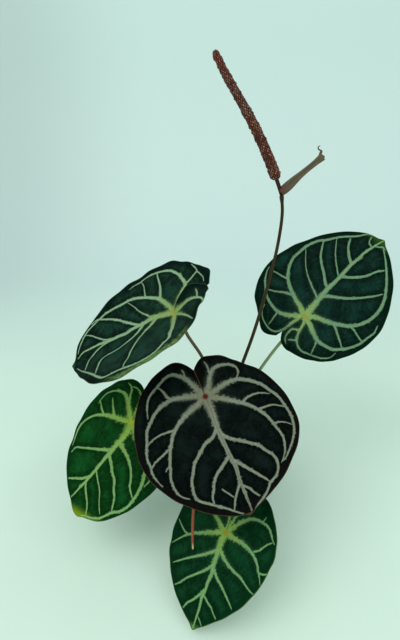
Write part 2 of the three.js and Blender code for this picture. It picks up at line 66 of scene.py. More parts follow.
# junction: where the petiole meets the blade. heading: compass of the midrib from the viewer's side
# toward +X. rise: its elevation. roll: about the midrib. fold: each half raised from the midrib. cup: sag
# of the halves. tip_bend, lobe_bend: curvature along the midrib, per metre. wave, waves, phase: height,
# number and shift of the margin's waves. uneven: swing of the outline, as a share of its reach. tip: angle,
# length and spread of the small point. right, left: outline radii at the stations, the angle at which that
# side meets the sinus, and the lift of its lobe, which is steep where the lobe arches up at once. via:
# petiole route. joint_lean: slant of the petiole's joint along the midrib. girth: factor on vein widths.
LEAVES = {
    "front": dict(
        junction=(-30, -75, 198), heading=22, rise=-32, roll=-15, fold=0, cup=2.5, tip_bend=2, lobe_bend=1.5,
        wave=1.6, waves=7, phase=0.4, uneven=0.0022, tip=(-1.5, 2.0, 2.2),
        right=dict(end=177.3, lift=-1.8, radii=(124, 120, 112, 103, 87, 73, 62, 52, 33)),
        left=dict(end=183.7, lift=2.4, radii=(124, 118, 112, 104, 79, 58.5, 49.5, 44.5, 32)),
        via=((-5, -18, 126), (-13, -42, 156)), joint_lean=0.2, girth=1.0,
    ),
    "right": dict(
        junction=(93, 20, 244), heading=90, rise=50, roll=-55, fold=0, cup=2, tip_bend=2.4, lobe_bend=2,
        wave=1.5, waves=7, phase=1.9, uneven=0.0028, tip=(0, 2.4, 2.0),
        right=dict(end=190.5, lift=2, radii=(124, 115, 101, 86, 68, 57, 48, 45.5, 34)),
        left=dict(end=169, lift=-1, radii=(124, 120, 106, 91, 84, 74, 61, 58, 44)),
        via=((22, 9, 142), (53, 20, 188), (76, 26, 217)), joint_lean=1.1, girth=1.0,
    ),
    "upper": dict(
        junction=(-64, 0, 262), heading=-92, rise=-33, roll=12, fold=18, cup=0.5, tip_bend=-1, lobe_bend=-1.5,
        wave=1.8, waves=6, phase=3.2, uneven=0.005, tip=(0, 2.2, 2.0),
        right=dict(end=170, lift=-1, radii=(145, 141, 124, 102, 88, 74.5, 67, 65, 54)),
        left=dict(end=200, lift=12, steep=True, radii=(145, 134, 123, 108, 86, 66, 60, 48, 30)),
        via=((-11, -1, 148), (-33, 0, 203), (-51, 0, 237)), joint_lean=0.3, girth=0.95,
    ),
    "left": dict(
        junction=(-121, -30, 129), heading=-34, rise=-28, roll=2, fold=2, cup=2, tip_bend=1.5, lobe_bend=1,
        wave=1.6, waves=6, phase=5.1, uneven=0.0028, tip=(4, 3.2, 5.0),
        right=dict(end=176, lift=1.5, radii=(119, 109, 96, 84, 74.5, 74, 63.5, 51, 36)),
        left=dict(end=178, lift=-1.5, radii=(119, 117, 105, 86, 74, 68, 60, 50, 34)),
        via=((-36, -10, 122), (-72, -19, 128), (-102, -24, 124)), joint_lean=0.9, girth=1.0,
    ),
    "low": dict(
        junction=(-11, -138, 62), heading=-29, rise=-30, roll=-12, fold=6, cup=0.7, tip_bend=1.3, lobe_bend=1,
        wave=1.2, waves=6, phase=2.2, uneven=0.0028, tip=(0, 1.8, 2.5),
        right=dict(end=178.5, lift=-1, radii=(94, 86, 77, 68, 64, 62, 58, 49, 34)),
        left=dict(end=182.5, lift=1.5, radii=(94, 85, 75, 67, 62, 58, 57, 48, 32)),
        via=((-3, -36, 118), (-4, -62, 115), (-5, -80, 92), (-5, -97, 68), (-6, -114, 57)), joint_lean=1.1,
        girth=0.82,
    ),
}

# Veins of each blade: their kind and their points, each an angle from the tip (right positive) and a share
# of the way from the junction to the margin. A midrib or basal vein starts at the junction itself.
VEINS = {"front": (
    ("midrib", (-2, .15), (0, .27), (-1, .39), (-2, .53), (-3, .64), (-2, .72), (-2, .81), (-2, .91),
     (-2, .99)),
    ("basal", (-142, .2), (-148, .45), (-146, .64), (-139, .74), (-129, .83), (-120, .86), (-113, .8),
     (-107, .69), (-103, .61)),
    ("fine", (-151, .55), (-157, .73), (-162, .86)),
    ("basal", (-103, .2), (-105, .35), (-104, .48), (-101, .58), (-96, .66), (-90, .73), (-85, .79),
     (-78, .83), (-72, .88), (-66, .9), (-61, .92), (-56, .93), (-51, .94), (-45, .94), (-38, .94),
     (-33, .94), (-29, .92)),
    ("branch", (-61, .4), (-70, .48), (-74, .57), (-76, .68), (-75, .79)),
    ("branch", (-58, .57), (-62, .66), (-65, .76), (-65, .84), (-65, .91)),
    ("fine", (-49, .72), (-52, .79), (-53, .86), (-53, .93)),
    ("basal", (-64, .14), (-62, .25), (-61, .34), (-60, .44), (-58, .53), (-55, .6), (-52, .67), (-48, .73),
     (-45, .8), (-42, .85), (-38, .89), (-35, .91), (-31, .92), (-29, .92)),
    ("lateral", (-1, .32), (-4, .37), (-10, .43), (-18, .51), (-23, .58), (-27, .66), (-28, .74), (-29, .82),
     (-28, .88), (-25, .92), (-22, .94), (-17, .94), (-14, .96), (-10, .98), (-6, .99), (-3, 1)),
    ("lateral", (-2, .57), (-7, .65), (-11, .74), (-14, .82), (-16, .89), (-17, .94)),
    ("branch", (-2, .78), (-5, .84), (-7, .91), (-9, .96)),
    ("basal", (152, .21), (154, .39), (153, .54), (150, .65), (146, .75), (141, .79), (133, .8), (124, .81),
     (116, .84), (109, .85), (101, .83), (92, .8)),
    ("fine", (153, .54), (159, .67), (160, .77)),
    ("basal", (113, .16), (110, .26), (108, .37), (107, .48), (103, .56), (98, .64), (93, .71), (86, .77),
     (81, .82), (75, .84), (69, .87), (64, .9), (59, .91), (54, .94), (49, .95), (45, .96)),
    ("branch", (106, .49), (114, .6), (121, .71), (124, .81)),
    ("branch", (63, .49), (68, .58), (71, .67), (72, .77), (71, .85)),
    ("branch", (55, .65), (56, .71), (57, .78), (58, .85), (57, .92)),
    ("fine", (47, .75), (48, .79), (48, .83)),
    ("basal", (63, .13), (66, .23), (66, .34), (64, .43), (61, .51), (57, .58), (53, .65), (49, .72),
     (45, .8), (43, .85), (40, .89), (36, .93), (32, .94), (28, .93)),
    ("lateral", (2, .3), (11, .37), (21, .44), (26, .54), (29, .62), (29, .7), (29, .78), (27, .86),
     (25, .91), (22, .92), (18, .92), (13, .93), (9, .94), (6, .96), (2, .99)),
    ("lateral", (-1, .53), (6, .6), (11, .66), (14, .73), (15, .8), (16, .87), (15, .92)),
    ("branch", (-1, .76), (2, .82), (4, .87), (6, .96)),
    ("fine", (10, .79), (7, .82), (4, .86)),
), "right": (
    ("midrib", (-6, .1), (-6, .2), (-6, .31), (-5, .4), (-4, .49), (-4, .57), (-4, .66), (-3, .74), (-3, .81),
     (-2, .88), (-1, .94), (0, 1)),
    ("basal", (-68, .12), (-73, .26), (-73, .4), (-72, .51), (-69, .62), (-65, .71), (-61, .78), (-57, .83),
     (-51, .87), (-46, .91), (-41, .93), (-35, .93), (-30, .92), (-24, .93), (-18, .94), (-13, .95),
     (-9, .99), (-6, 1), (-3, 1)),
    ("fine", (-10, .22), (-22, .28), (-35, .4), (-41, .51), (-44, .62), (-45, .74), (-45, .85), (-46, .91)),
    ("lateral", (-6, .35), (-15, .41), (-22, .51), (-28, .62), (-31, .72), (-32, .83), (-32, .92)),
    ("fine", (-4, .49), (-11, .56), (-19, .71), (-22, .82), (-24, .93)),
    ("lateral", (-4, .66), (-8, .7), (-11, .75), (-14, .82), (-16, .93)),
    ("fine", (-2, .89), (-5, .92), (-6, .96), (-6, 1)),
    ("basal", (-131, .14), (-131, .29), (-129, .43), (-125, .54), (-119, .61), (-113, .69), (-107, .76),
     (-100, .82), (-94, .88), (-87, .93), (-82, .95)),
    ("branch", (-70, .59), (-75, .67), (-79, .77), (-82, .86)),
    ("branch", (-78, .38), (-84, .45), (-93, .57), (-98, .68), (-101, .79)),
    ("branch", (0, 0), (-159, .24), (-166, .53), (-166, .72), (-162, .82), (-155, .83), (-147, .86),
     (-139, .91), (-128, .88), (-119, .78)),
    ("fine", (-127, .53), (-137, .64), (-145, .73), (-149, .82)),
    ("lateral", (-6, .24), (1, .28), (12, .37), (20, .47), (25, .6), (27, .72), (28, .82), (28, .9)),
    ("lateral", (-4, .51), (2, .55), (8, .65), (11, .74), (12, .83), (14, .93)),
    ("fine", (-2, .91), (1, .93), (2, .97), (5, .98)),
    ("basal", (48, .14), (56, .25), (58, .36), (58, .48), (57, .59), (54, .69), (50, .77), (45, .84),
     (40, .88), (35, .91), (30, .92), (26, .92), (20, .93), (15, .94), (10, .95), (6, .96), (2, .97)),
    ("branch", (58, .4), (68, .5), (77, .62), (83, .74), (87, .83)),
    ("branch", (56, .6), (60, .69), (64, .77), (67, .84), (69, .91)),
    ("basal", (103, .21), (107, .38), (107, .55), (101, .67), (96, .77), (90, .82), (83, .86), (77, .89),
     (70, .91), (64, .92), (58, .94), (51, .93)),
    ("branch", (0, 0), (147, .21), (154, .39), (155, .57), (149, .74), (141, .83), (132, .85), (122, .89),
     (113, .92), (104, .92), (96, .87)),
    ("fine", (109, .54), (119, .68), (127, .85)),
    ("fine", (154, .38), (178, .49), (180, .7), (177, .81), (169, .88)),
    ("fine", (154, .65), (162, .69), (170, .76)),
), "upper": (
    ("midrib", (30, .07), (25, .13), (24, .22), (18, .28), (14, .35), (12, .42), (9, .49), (9, .56), (8, .66),
     (8, .75), (7, .85), (6, .93), (3, .97)),
    ("basal", (120, .26), (125, .41), (128, .56), (119, .66), (111, .74), (102, .8), (93, .85), (85, .88),
     (77, .89), (71, .91), (65, .9), (59, .9), (54, .9)),
    ("branch", (127, .57), (133, .68), (136, .8), (137, .88), (132, .93), (126, .97)),
    ("fine", (138, .87), (146, .85), (155, .82), (162, .83)),
    ("basal", (75, .15), (70, .26), (67, .38), (61, .48), (55, .58), (51, .66), (46, .73), (40, .78),
     (35, .85), (30, .91), (25, .94), (20, .97), (16, .97), (11, .97), (6, .98)),
    ("lateral", (67, .37), (77, .5), (81, .65), (82, .77), (83, .86)),
    ("fine", (55, .56), (61, .67), (65, .78), (66, .89)),
    ("fine", (23, .24), (30, .34), (35, .46), (40, .58), (43, .73)),
    ("lateral", (14, .34), (18, .43), (23, .56), (26, .68), (27, .8), (27, .89), (27, .95), (24, .99)),
    ("branch", (8, .56), (9, .63), (10, .7), (13, .79), (16, .89), (17, .97)),
    ("lateral", (22, .19), (5, .23), (-4, .29), (-16, .38), (-26, .45), (-37, .55), (-45, .66), (-48, .74),
     (-52, .82)),
    ("lateral", (15, .31), (2, .37), (-3, .43), (-6, .5), (-9, .57), (-9, .64), (-9, .71), (-13, .77),
     (-22, .83), (-30, .9)),
    ("branch", (8, .58), (7, .68), (5, .75), (2, .8), (-2, .84), (-9, .89), (-15, .93)),
    ("basal", (-95, .29), (-94, .46), (-92, .6), (-91, .73), (-87, .76), (-83, .83), (-79, .87), (-74, .89),
     (-68, .87), (-60, .84), (-52, .83), (-47, .86), (-43, .9), (-39, .92), (-31, .91), (-21, .92),
     (-13, .95), (-5, .97)),
    ("basal", (-155, .27), (-158, .4), (-158, .56), (-153, .74), (-146, .92), (-141, 1), (-136, 1)),
    ("branch", (-153, .74), (-165, .73), (-179, .78)),
    ("branch", (0, 0), (-125, .36), (-123, .65), (-121, .92)),
), "left": (
    ("midrib", (-12, .11), (-3, .2), (2, .27), (4, .37), (6, .46), (7, .57), (8, .68), (9, .78), (10, .87),
     (10.5, .94), (11, .99)),
    ("basal", (131, .14), (134, .31), (135, .48), (132, .65), (125, .75), (117, .83), (109, .86), (101, .85),
     (94, .83)),
    ("branch", (135, .38), (142, .58), (145, .72), (144, .83), (140, .91)),
    ("branch", (0, 0), (172, .19), (170, .44), (169, .67), (164, .79), (156, .82), (148, .82), (145, .79)),
    ("basal", (76, .15), (81, .31), (82, .46), (81, .58), (79, .71), (75, .82), (71, .89), (66, .93),
     (60, .95), (54, .96), (47, .95)),
    ("branch", (81, .56), (90, .69), (97, .81), (98, .86)),
    ("fine", (82, .35), (101, .48), (112, .66)),
    ("lateral", (4, .34), (16, .43), (27, .55), (35, .67), (40, .78), (43, .87), (41, .94)),
    ("lateral", (9, .7), (13, .79), (18, .88), (22, .97)),
    ("lateral", (-1, .23), (-15, .29), (-25, .38), (-31, .48), (-33, .58), (-33, .68), (-32, .76), (-33, .84),
     (-34, .9)),
    ("lateral", (3, .39), (-6, .46), (-12, .54), (-17, .63), (-18, .71), (-20, .8), (-20, .88), (-20, .94)),
    ("fine", (7, .59), (-1, .64), (-7, .73), (-10, .83), (-13, .94)),
    ("branch", (9, .75), (5, .78), (0, .83), (-3, .91), (-4, .97)),
    ("basal", (-51, .17), (-51, .35), (-53, .53), (-50, .67), (-46, .75), (-43, .81), (-38, .88), (-34, .92),
     (-30, .95), (-25, .96), (-20, .94), (-17, .95), (-13, .97), (-8, .98), (-4, .98), (-1, .99)),
    ("basal", (-111, .2), (-109, .37), (-98, .54), (-85, .67), (-72, .76), (-60, .82), (-49, .86),
     (-43, .87)),
    ("branch", (0, 0), (-161, .26), (-161, .54), (-153, .69), (-141, .74), (-123, .71), (-99, .7)),
    ("branch", (-52, .54), (-58, .65), (-60, .77)),
), "low": (
    ("midrib", (5, .08), (4, .16), (2, .24), (1, .32), (0, .38), (-1, .45), (0, .53), (0, .62), (1, .7),
     (0, .78), (0, .86), (0, .93), (0, .99)),
    ("basal", (120, .17), (123, .31), (123, .46), (121, .63), (114, .75)),
    ("basal", (72, .19), (70, .33), (70, .48), (69, .62), (67, .74), (64, .86), (61, .98)),
    ("branch", (68, .68), (73, .77), (79, .86), (85, .96)),
    ("lateral", (3, .18), (13, .26), (21, .33), (30, .45), (37, .6), (41, .75), (43, .87), (44, .95)),
    ("lateral", (1, .34), (6, .42), (13, .53), (19, .64), (24, .77), (26, .88), (28, .97)),
    ("lateral", (1, .62), (4, .71), (8, .82), (11, .9), (12, .98)),
    ("basal", (-140, .15), (-140, .29), (-137, .43), (-133, .57), (-127, .68), (-121, .77), (-115, .85),
     (-108, .89), (-102, .91), (-97, .96)),
    ("fine", (-122, .77), (-124, .82), (-126, .87)),
    ("basal", (-80, .21), (-81, .36), (-80, .48), (-77, .6), (-74, .69), (-70, .78), (-66, .85), (-63, .92),
     (-60, .98)),
    ("branch", (-80, .62), (-85, .7), (-91, .77), (-96, .85), (-99, .93)),
    ("branch", (-66, .87), (-68, .94), (-71, 1)),
    ("lateral", (0, .18), (-19, .31), (-30, .43), (-38, .55), (-44, .67), (-47, .8), (-49, .91), (-51, .99)),
    ("lateral", (-1, .39), (-11, .52), (-19, .64), (-24, .76), (-27, .86), (-29, .95)),
    ("branch", (1, .66), (-5, .74), (-10, .82), (-13, .9), (-16, .98)),
    ("fine", (-1, .87), (-4, .94), (-6, 1)),
    ("branch", (0, 0), (174, .3), (171, .66)),
    ("branch", (0, 0), (-165, .42), (-159, .68), (-150, .88)),
)}

# Half widths of a vein's pale mark at its start and end, and the radius of its rib under the blade
VEIN_WIDTHS = {
    "midrib": (3.7, 1.35, 1.25),
    "basal": (2.9, 1.0, 0.95),
    "lateral": (2.1, 1.1, 0.65),
    "branch": (1.45, 0.85, 0.45),
    "fine": (0.95, 0.55, 0.0),
}
RIB_MARK = 10.0  # added to the half width of a midrib, so that its material can tell it
VEIN_STRIDE = 37.0  # added to the length along each further vein, so that no two look alike

FOLD_SOFTNESS = 8  # half width of the rounded bottom of a fold
FOLD_NARROWING = 0.7  # share of the fold's angle that also draws the halves together
OUTLINE_SWINGS = (13, 23)  # slow and quick swings round the outline
RIPPLE_SWINGS = 17  # small waves round the margin
LOBE_SPAN = (1.9, 3.0)  # angles from the tip, in radians, between which the lift of a lobe sets in
WAVE_SPAN = (0.1, 0.7)  # the same for the margin's waves
TIP_CROWDING = 1.1  # over 1, the cells of a blade lie closer at the tip than at the sinus
RIM_SETTLING = 5  # width along the margin in which a blade loses its relief
CHANNEL_REACH = 1.3  # half width of the channel over a vein

# Height at which each petiole starts, and its distance from the stem's axis
PETIOLE_SEATS = {"front": 112, "right": 114, "upper": 117, "left": 107, "low": 103}
SEAT_REACH = 2
JOINT_LENGTH = 13
TIP_DEPTH = 1.3  # how far under the middle of its blade a petiole ends

PEDUNCLE_ROUTE = (
    (-1, 6, 113), (4, 5, 140), (16, 2, 186), (28, 0, 229), (38, 0, 270), (46, 0, 308), (52, 0, 344),
    (54.4, 0, 376), (52.4, 0, 395.6),
)
SPADIX_AXIS = (
    (52.6, 0, 394.6), (45, 0, 414), (37, 0, 432), (28, 0, 450), (18, 0, 468), (6, 0, 487), (-6, 0, 506),
    (-16, 0, 524),
)
FLORET_CELLS = 6
RAISED_FLORETS = 0.3  # share of the florets that stand higher than the rest

SPATHE_SPINE = (
    (51.6, 0, 397.6), (57.6, 0, 402.8), (65.4, 0, 410), (72.6, 0, 416.2), (81, 0, 423.2), (91, 0, 431.6),
)
SPATHE_STATIONS = (0, 0.08, 0.22, 0.5, 0.8, 1)
SPATHE_WIDTHS = (9.4, 10.6, 10.4, 7.2, 6.8, 8.8)
SPATHE_OPENING = math.radians(118)  # where the outer edge of the roll lies, from its lower side
SPATHE_CURL = (
    (88.2, -0.4, 431.8), (88.6, -0.3, 434.4), (89.2, -0.4, 436.4), (87.6, -0.9, 437.4), (85.8, -0.9, 438.6),
    (85.9, -0.5, 440.6), (87.6, 0, 441.4),
)

ROOT_ROUTE = (
    (-6, -7, 99), (-15, -30, 113), (-24, -57, 120), (-35, -92, 119), (-43, -120, 108), (-46, -138, 88),
    (-47, -147, 66), (-47, -149, 51),
)

POT = dict(floor=2.6, floor_ring=38, rim_radius=60, height=105, base_radius=44, wall=2.2, rim_depth=14,
           rim_step=2.6, drain_ring=29, drain_radius=5, drain_holes=6)
SOIL_TOP = 92
SOIL_GAP = 0.5  # between the mix and the wall
STEM_CLEARING = 11  # no chip lies closer to the stem's axis
STEM = dict(foot=58, neck=104, top=121, foot_radius=8.5, radius=9.5, top_radius=4.6, scars=4, sheaths=16)

# Starts of the random draws
SEEDS = dict(root=11, florets=23, sheaths=5, ground=3, chips=41)

# Paper sweep and camera frame: the paper's near and far end, the radius of its curve, its height and width,
# in metres, and the frame's width in millimetres
SWEEP = dict(near=-7.0, far=0.75, curve=0.6, high=3.6, width=14, cells=300)
FRAME_WIDTH = 36
# Area lights: place, size, the setting that holds the power, and colour
LIGHTS = {
    "key_light": ((-0.9, -0.7, 1.7), 1.3, "key", (0.96, 1.0, 0.98)),
    "fill_light": ((1.3, -1.2, 1.0), 1.6, "fill", (0.92, 1.0, 0.97)),
}
LIT_POINT = (0, 0, 0.22)

# Finishes of the upper faces, as display colours. dark: lamina. light: painted sheen, the lamina lit bluish
# in the
# middle of the panels between veins. glow: painted sheen in combed streaks over the panels, and the paler
# lamina
# beside the veins. band: lamina outside the outermost vein, out to band_width. vein, core: edge and middle of
# a
# vein. near: veins within near_reach of the junction. line: hair line of the midrib. edge: rim of the blade.
# spot:
# junction. tip: the last tip_reach of the blade. feather, spurs: strength of the barbs by the junction and of
# those all along. net: strength of the fine net. pale_margin: strength of a yellowed margin.
LEAF_FINISHES = {
    "front": dict(
        dark=(1, 4, 4), light=(12, 24, 22), glow=(22, 36, 32), band=(14, 11, 9), vein=(122, 130, 114),
        core=(142, 147, 129), near=(132, 130, 110), line=(104, 74, 62), edge=(84, 72, 56), spot=(92, 26, 30),
        tip=(92, 66, 42), tip_reach=0.6, near_reach=30.0, feather=0.85, spurs=0.8, net=0.02, band_width=9,
    ),
    "right": dict(
        dark=(2, 20, 13), light=(15, 48, 42), glow=(30, 64, 56), band=(3, 25, 13), vein=(110, 142, 114),
        core=(126, 162, 122), near=(150, 178, 106), line=(150, 174, 98), edge=(52, 72, 38),
        spot=(162, 150, 70), tip=(52, 84, 26), tip_reach=8.0, near_reach=34.0, feather=0.6, spurs=0.6,
        net=0.05, band_width=9,
    ),
    "upper": dict(
        dark=(1, 16, 11), light=(20, 52, 42), glow=(42, 80, 58), band=(1, 16, 11), vein=(138, 168, 138),
        core=(156, 188, 148), near=(150, 172, 100), line=(150, 168, 92), edge=(64, 96, 56),
        spot=(176, 152, 66), tip=(60, 98, 66), tip_reach=4.0, near_reach=60.0, feather=0.8, spurs=0.8,
        net=0.05, band_width=16, pale_margin=0.85,
    ),
    "left": dict(
        dark=(1, 40, 5), light=(10, 72, 26), glow=(24, 94, 38), band=(5, 46, 18), vein=(122, 166, 112),
        core=(142, 184, 110), near=(164, 202, 88), line=(150, 184, 80), edge=(70, 112, 44),
        spot=(196, 196, 50), tip=(128, 156, 26), tip_reach=8.0, near_reach=62.0, feather=1.25, spurs=0.7,
        net=0.04, band_width=9,
    ),
    "low": dict(
        dark=(1, 35, 15), light=(10, 60, 34), glow=(24, 80, 44), band=(4, 42, 20), vein=(112, 156, 110),
        core=(132, 176, 112), near=(146, 184, 92), line=(140, 172, 88), edge=(90, 118, 66),
        spot=(160, 150, 50), tip=(80, 122, 60), tip_reach=5.0, near_reach=36.0, feather=0.8, spurs=0.6,
        net=0.04, band_width=9,
    ),
}


def srgb(red, green, blue):
    """Scene colour of a display colour given in 0 to 255."""
    def linear(value):
        value /= 255
        return value / 12.92 if value <= 0.04045 else ((value + 0.055) / 1.055) ** 2.4
    return (linear(red), linear(green), linear(blue))


def shade(colour, factor):
    """A colour made darker, or lighter where the factor is over 1."""
    return tuple(factor * channel for channel in colour)


# Settings

def length_setting(name, description, millimetres):
    return FloatProperty(name=name, description=description, default=millimetres * MM, min=0.0, unit="LENGTH",
                         precision=5)


def colour_setting(name, description, default):
    return FloatVectorProperty(name=name, description=description, default=srgb(*default), size=3, min=0.0,
                               max=1.0, subtype="COLOR")


def in_mm(settings, *labels):
    """Lengths of a settings group, in millimetres."""
    return [getattr(settings, label) / MM for label in labels]


class BladeSettings(bpy.types.PropertyGroup):
    """Sizes and shared colours of the leaf blades."""
    thickness: length_setting("Blade thickness", "Thickness of a blade away from its margin", 0.9)
    margin_thickness: length_setting("Margin thickness", "Thickness of a blade at its margin", 0.45)
    channel: length_setting("Vein channel", "Depth of the channel over a main vein", 0.42)
    quilting: length_setting("Quilting", "Height of the lamina's crown between veins", 0.75)
    quilting_reach: length_setting("Quilting reach", "Distance from a vein at which the crown is full", 8)
    columns: IntProperty(name="Columns", description="Cells round a blade's outline", default=280, min=40)
    rings: IntProperty(name="Rings", description="Cells from junction to margin", default=62, min=12)
    underside: colour_setting("Underside", "Lamina seen from below", (96, 122, 74))
    ribs: colour_setting("Ribs", "Raised ribs under a blade", (150, 164, 104))


class StalkSettings(bpy.types.PropertyGroup):
    """Sizes and colours of the petioles, the flower stalk and the root."""
    base_radius: length_setting("Petiole base", "Radius of a petiole at the stem", 3.1)
    shaft_radius: length_setting("Petiole shaft", "Radius of a petiole along its length", 2.0)
    joint_radius: length_setting("Petiole joint", "Radius of the swollen joint under a blade", 2.7)
    peduncle_base: length_setting("Flower stalk base", "Radius of the flower stalk at the stem", 2.2)
    peduncle_top: length_setting("Flower stalk top", "Radius of the flower stalk under the flower", 1.6)
    peduncle_node: length_setting("Flower node", "Radius of the node that carries the spathe", 2.3)
    root_radius: length_setting("Root radius", "Radius of the aerial root", 1.5)
    root_tip: length_setting("Root tip", "Radius of the root at its tip", 0.9)
    petiole: colour_setting("Petiole", "Green of the petioles", (142, 160, 114))
    petiole_flush: colour_setting("Petiole flush", "Brown flush of the darker petioles", (98, 68, 50))
    peduncle: colour_setting("Flower stalk", "Dark olive of the flower stalk", (58, 46, 20))
    peduncle_flush: colour_setting("Flower stalk flush", "Maroon of its upper end", (52, 28, 14))
    root: colour_setting("Root", "Orange brown of the aerial root", (172, 78, 44))
    root_end: colour_setting("Root tip colour", "Cream of its growing tip", (232, 206, 150))


class FlowerSettings(bpy.types.PropertyGroup):
    """Sizes and colours of the spadix and the spathe."""
    base_radius: length_setting("Spadix base", "Radius of the spike over its stipe", 5.3)
    tip_radius: length_setting("Spadix tip", "Radius of the spike near its end", 3.2)
    stipe_length: length_setting("Stipe length", "Bare stalk between node and spike", 17)
    stipe_radius: length_setting("Stipe radius", "Radius of that stalk", 2.0)
    relief: length_setting("Floret relief", "Height of a floret over the spike", 0.8)
    rows: IntProperty(name="Rows", description="Rows of florets along the spike", default=72, min=6)
    around: IntProperty(name="Around", description="Florets in one row", default=11, min=4)
    spathe_thickness: length_setting("Spathe thickness", "Thickness of the dried spathe", 0.55)
    spathe_wrap: FloatProperty(name="Spathe wrap", description="How far the dried spathe is rolled up",
                               default=math.radians(395), subtype="ANGLE")
    floret: colour_setting("Floret", "Brick red of the florets", (112, 46, 36))
    floret_pale: colour_setting("Aged floret", "Tan of the older florets", (146, 102, 76))
    # Painted shade: the near black brown in the furrows between the florets.
    floret_dark: colour_setting("Floret furrows", "Dark brown between the florets", (30, 18, 16))
    stigma: colour_setting("Stigma", "Pale pink of the open stigmas", (214, 156, 142))
    spathe: colour_setting("Spathe", "Olive brown of the dried spathe", (116, 96, 68))
    spathe_base: colour_setting("Spathe base", "Reddish base of the spathe", (96, 54, 40))


class PotSettings(bpy.types.PropertyGroup):
    """Sizes and colours of the pot, the bark mix and the stem."""
    chips: IntProperty(name="Bark chips", description="Chips of bark on the surface", default=560, min=10)
    grains: IntProperty(name="Perlite", description="Grains of perlite on the surface", default=130, min=0)
    plastic: colour_setting("Pot", "Dark grey green plastic", (34, 38, 36))
    bark: colour_setting("Bark", "Reddish brown bark", (112, 74, 48))
    compost: colour_setting("Compost", "Dark compost between the chips", (38, 27, 20))
    perlite: colour_setting("Perlite", "Off white grains", (214, 210, 196))
    stem: colour_setting("Stem", "Green brown stem", (104, 96, 58))


class StageSettings(bpy.types.PropertyGroup):
    """Backdrop, lights and camera."""
    paper: colour_setting("Paper", "Pale mint paper of floor and backdrop", (233, 247, 237))
    # Painted shade: the backdrop's far side, darker and bluer than the paper near the plant.
    far_paper_shade: colour_setting("Far paper", "Bluer mint of the backdrop", (226, 239, 239))
    key: FloatProperty(name="Key", description="Power of the key light", default=9.0, min=0, unit="POWER")
    fill: FloatProperty(name="Fill", description="Power of the fill light", default=7.0, min=0, unit="POWER")
    ambient: FloatProperty(name="Ambient", description="Strength of the even light", default=0.86, min=0)
    camera_place: FloatVectorProperty(name="Camera", description="Place of the camera", size=3,
                                      default=(-0.034, -0.480, 0.498), subtype="TRANSLATION", unit="LENGTH")
    camera_pitch: FloatProperty(name="Pitch", description="How far the camera looks down",
                                default=math.radians(27.1), subtype="ANGLE")
    camera_roll: FloatProperty(name="Roll", description="Turn about the view axis",
                               default=math.radians(1.25), subtype="ANGLE")
    lens: FloatProperty(name="Lens", description="Focal length in millimetres on a 36 mm frame",
                        default=25.99, min=1.0)


# Numbers and curves

def smoothstep(value, low, high):
    t = np.clip((np.asarray(value, float) - low) / (high - low), 0, 1)
    return t * t * (3 - 2 * t)


def interpolate(stations, values, at):
    """Smooth curve through the values at the stations."""
    stations = np.asarray(stations, float)
    values = np.asarray(values, float)
    last = len(stations) - 1
    after = np.minimum(np.arange(last + 1) + 1, last)
    before = np.maximum(np.arange(last + 1) - 1, 0)
    slopes = (values[after] - values[before]) / (stations[after] - stations[before])
    i = np.clip(np.searchsorted(stations, at, side="left") - 1, 0, last - 1)
    width = stations[i + 1] - stations[i]
    t = np.clip((at - stations[i]) / width, 0, 1)
    rest = 1 - t
    return (values[i] * (1 + 2 * t) * rest * rest + values[i + 1] * t * t * (3 - 2 * t)
            + width * (slopes[i] * t * rest * rest - slopes[i + 1] * t * t * rest))


def path_lengths(path):
    """Length along a path at each of its points."""
    return np.concatenate([[0], np.cumsum(np.linalg.norm(np.diff(path, axis=0), axis=1))])


def read_along(values, run, at):
    """Rows of values that belong to the lengths run, read at other lengths."""
    return np.stack([np.interp(at, run, column) for column in values.T], axis=-1)


def unit_rows(vectors):
    return vectors / np.linalg.norm(vectors, axis=1)[:, None]


def smooth_route(points, step):
    """Even points along a smooth curve through the given points, about a step apart."""
    points = np.asarray(points, float)
    padded = np.vstack([2 * points[0] - points[1], points, 2 * points[-1] - points[-2]])
    dense = []
    t = np.linspace(0, 1, 24, endpoint=False)[:, None]
    for i in range(len(points) - 1):
        p0, p1, p2, p3 = padded[i:i + 4]
        d0, d1, d2 = (max(math.sqrt(np.linalg.norm(b - a)), 1e-4) for a, b in ((p0, p1), (p1, p2), (p2, p3)))
        m1 = ((p1 - p0) / d0 - (p2 - p0) / (d0 + d1) + (p2 - p1) / d1) * d1
        m2 = ((p2 - p1) / d1 - (p3 - p1) / (d1 + d2) + (p3 - p2) / d2) * d1
        dense.append(p1 + m1 * t + (-3 * p1 + 3 * p2 - 2 * m1 - m2) * t ** 2
                     + (2 * p1 - 2 * p2 + m1 + m2) * t ** 3)
    dense = np.vstack(dense + [points[-1:]])
    run = path_lengths(dense)
    even = np.linspace(0, run[-1], max(3, int(round(run[-1] / step)) + 1))
    return read_along(dense, run, even)


def path_frames(path, start_side):
    """Tangent and two side directions at each point of a path, with no twist."""
    tangents = unit_rows(np.gradient(path, axis=0))
    side = np.asarray(start_side, float)
    sides = []
    for tangent in tangents:
        side = side - tangent * side.dot(tangent)
        side = side / np.linalg.norm(side)
        sides.append(side)
    sides = np.array(sides)
    return tangents, sides, np.cross(tangents, sides)


# Meshes

def unit_grid(bm, columns, rows):
    """Vertices of a new grid, with their places across and along it as arrays from 0 to 1."""
    verts = bmesh.ops.create_grid(bm, x_segments=columns, y_segments=rows, size=0.5)["verts"]
    u, v = (np.array([vert.co[axis] for vert in verts]) + 0.5 for axis in (0, 1))
    return verts, u, v


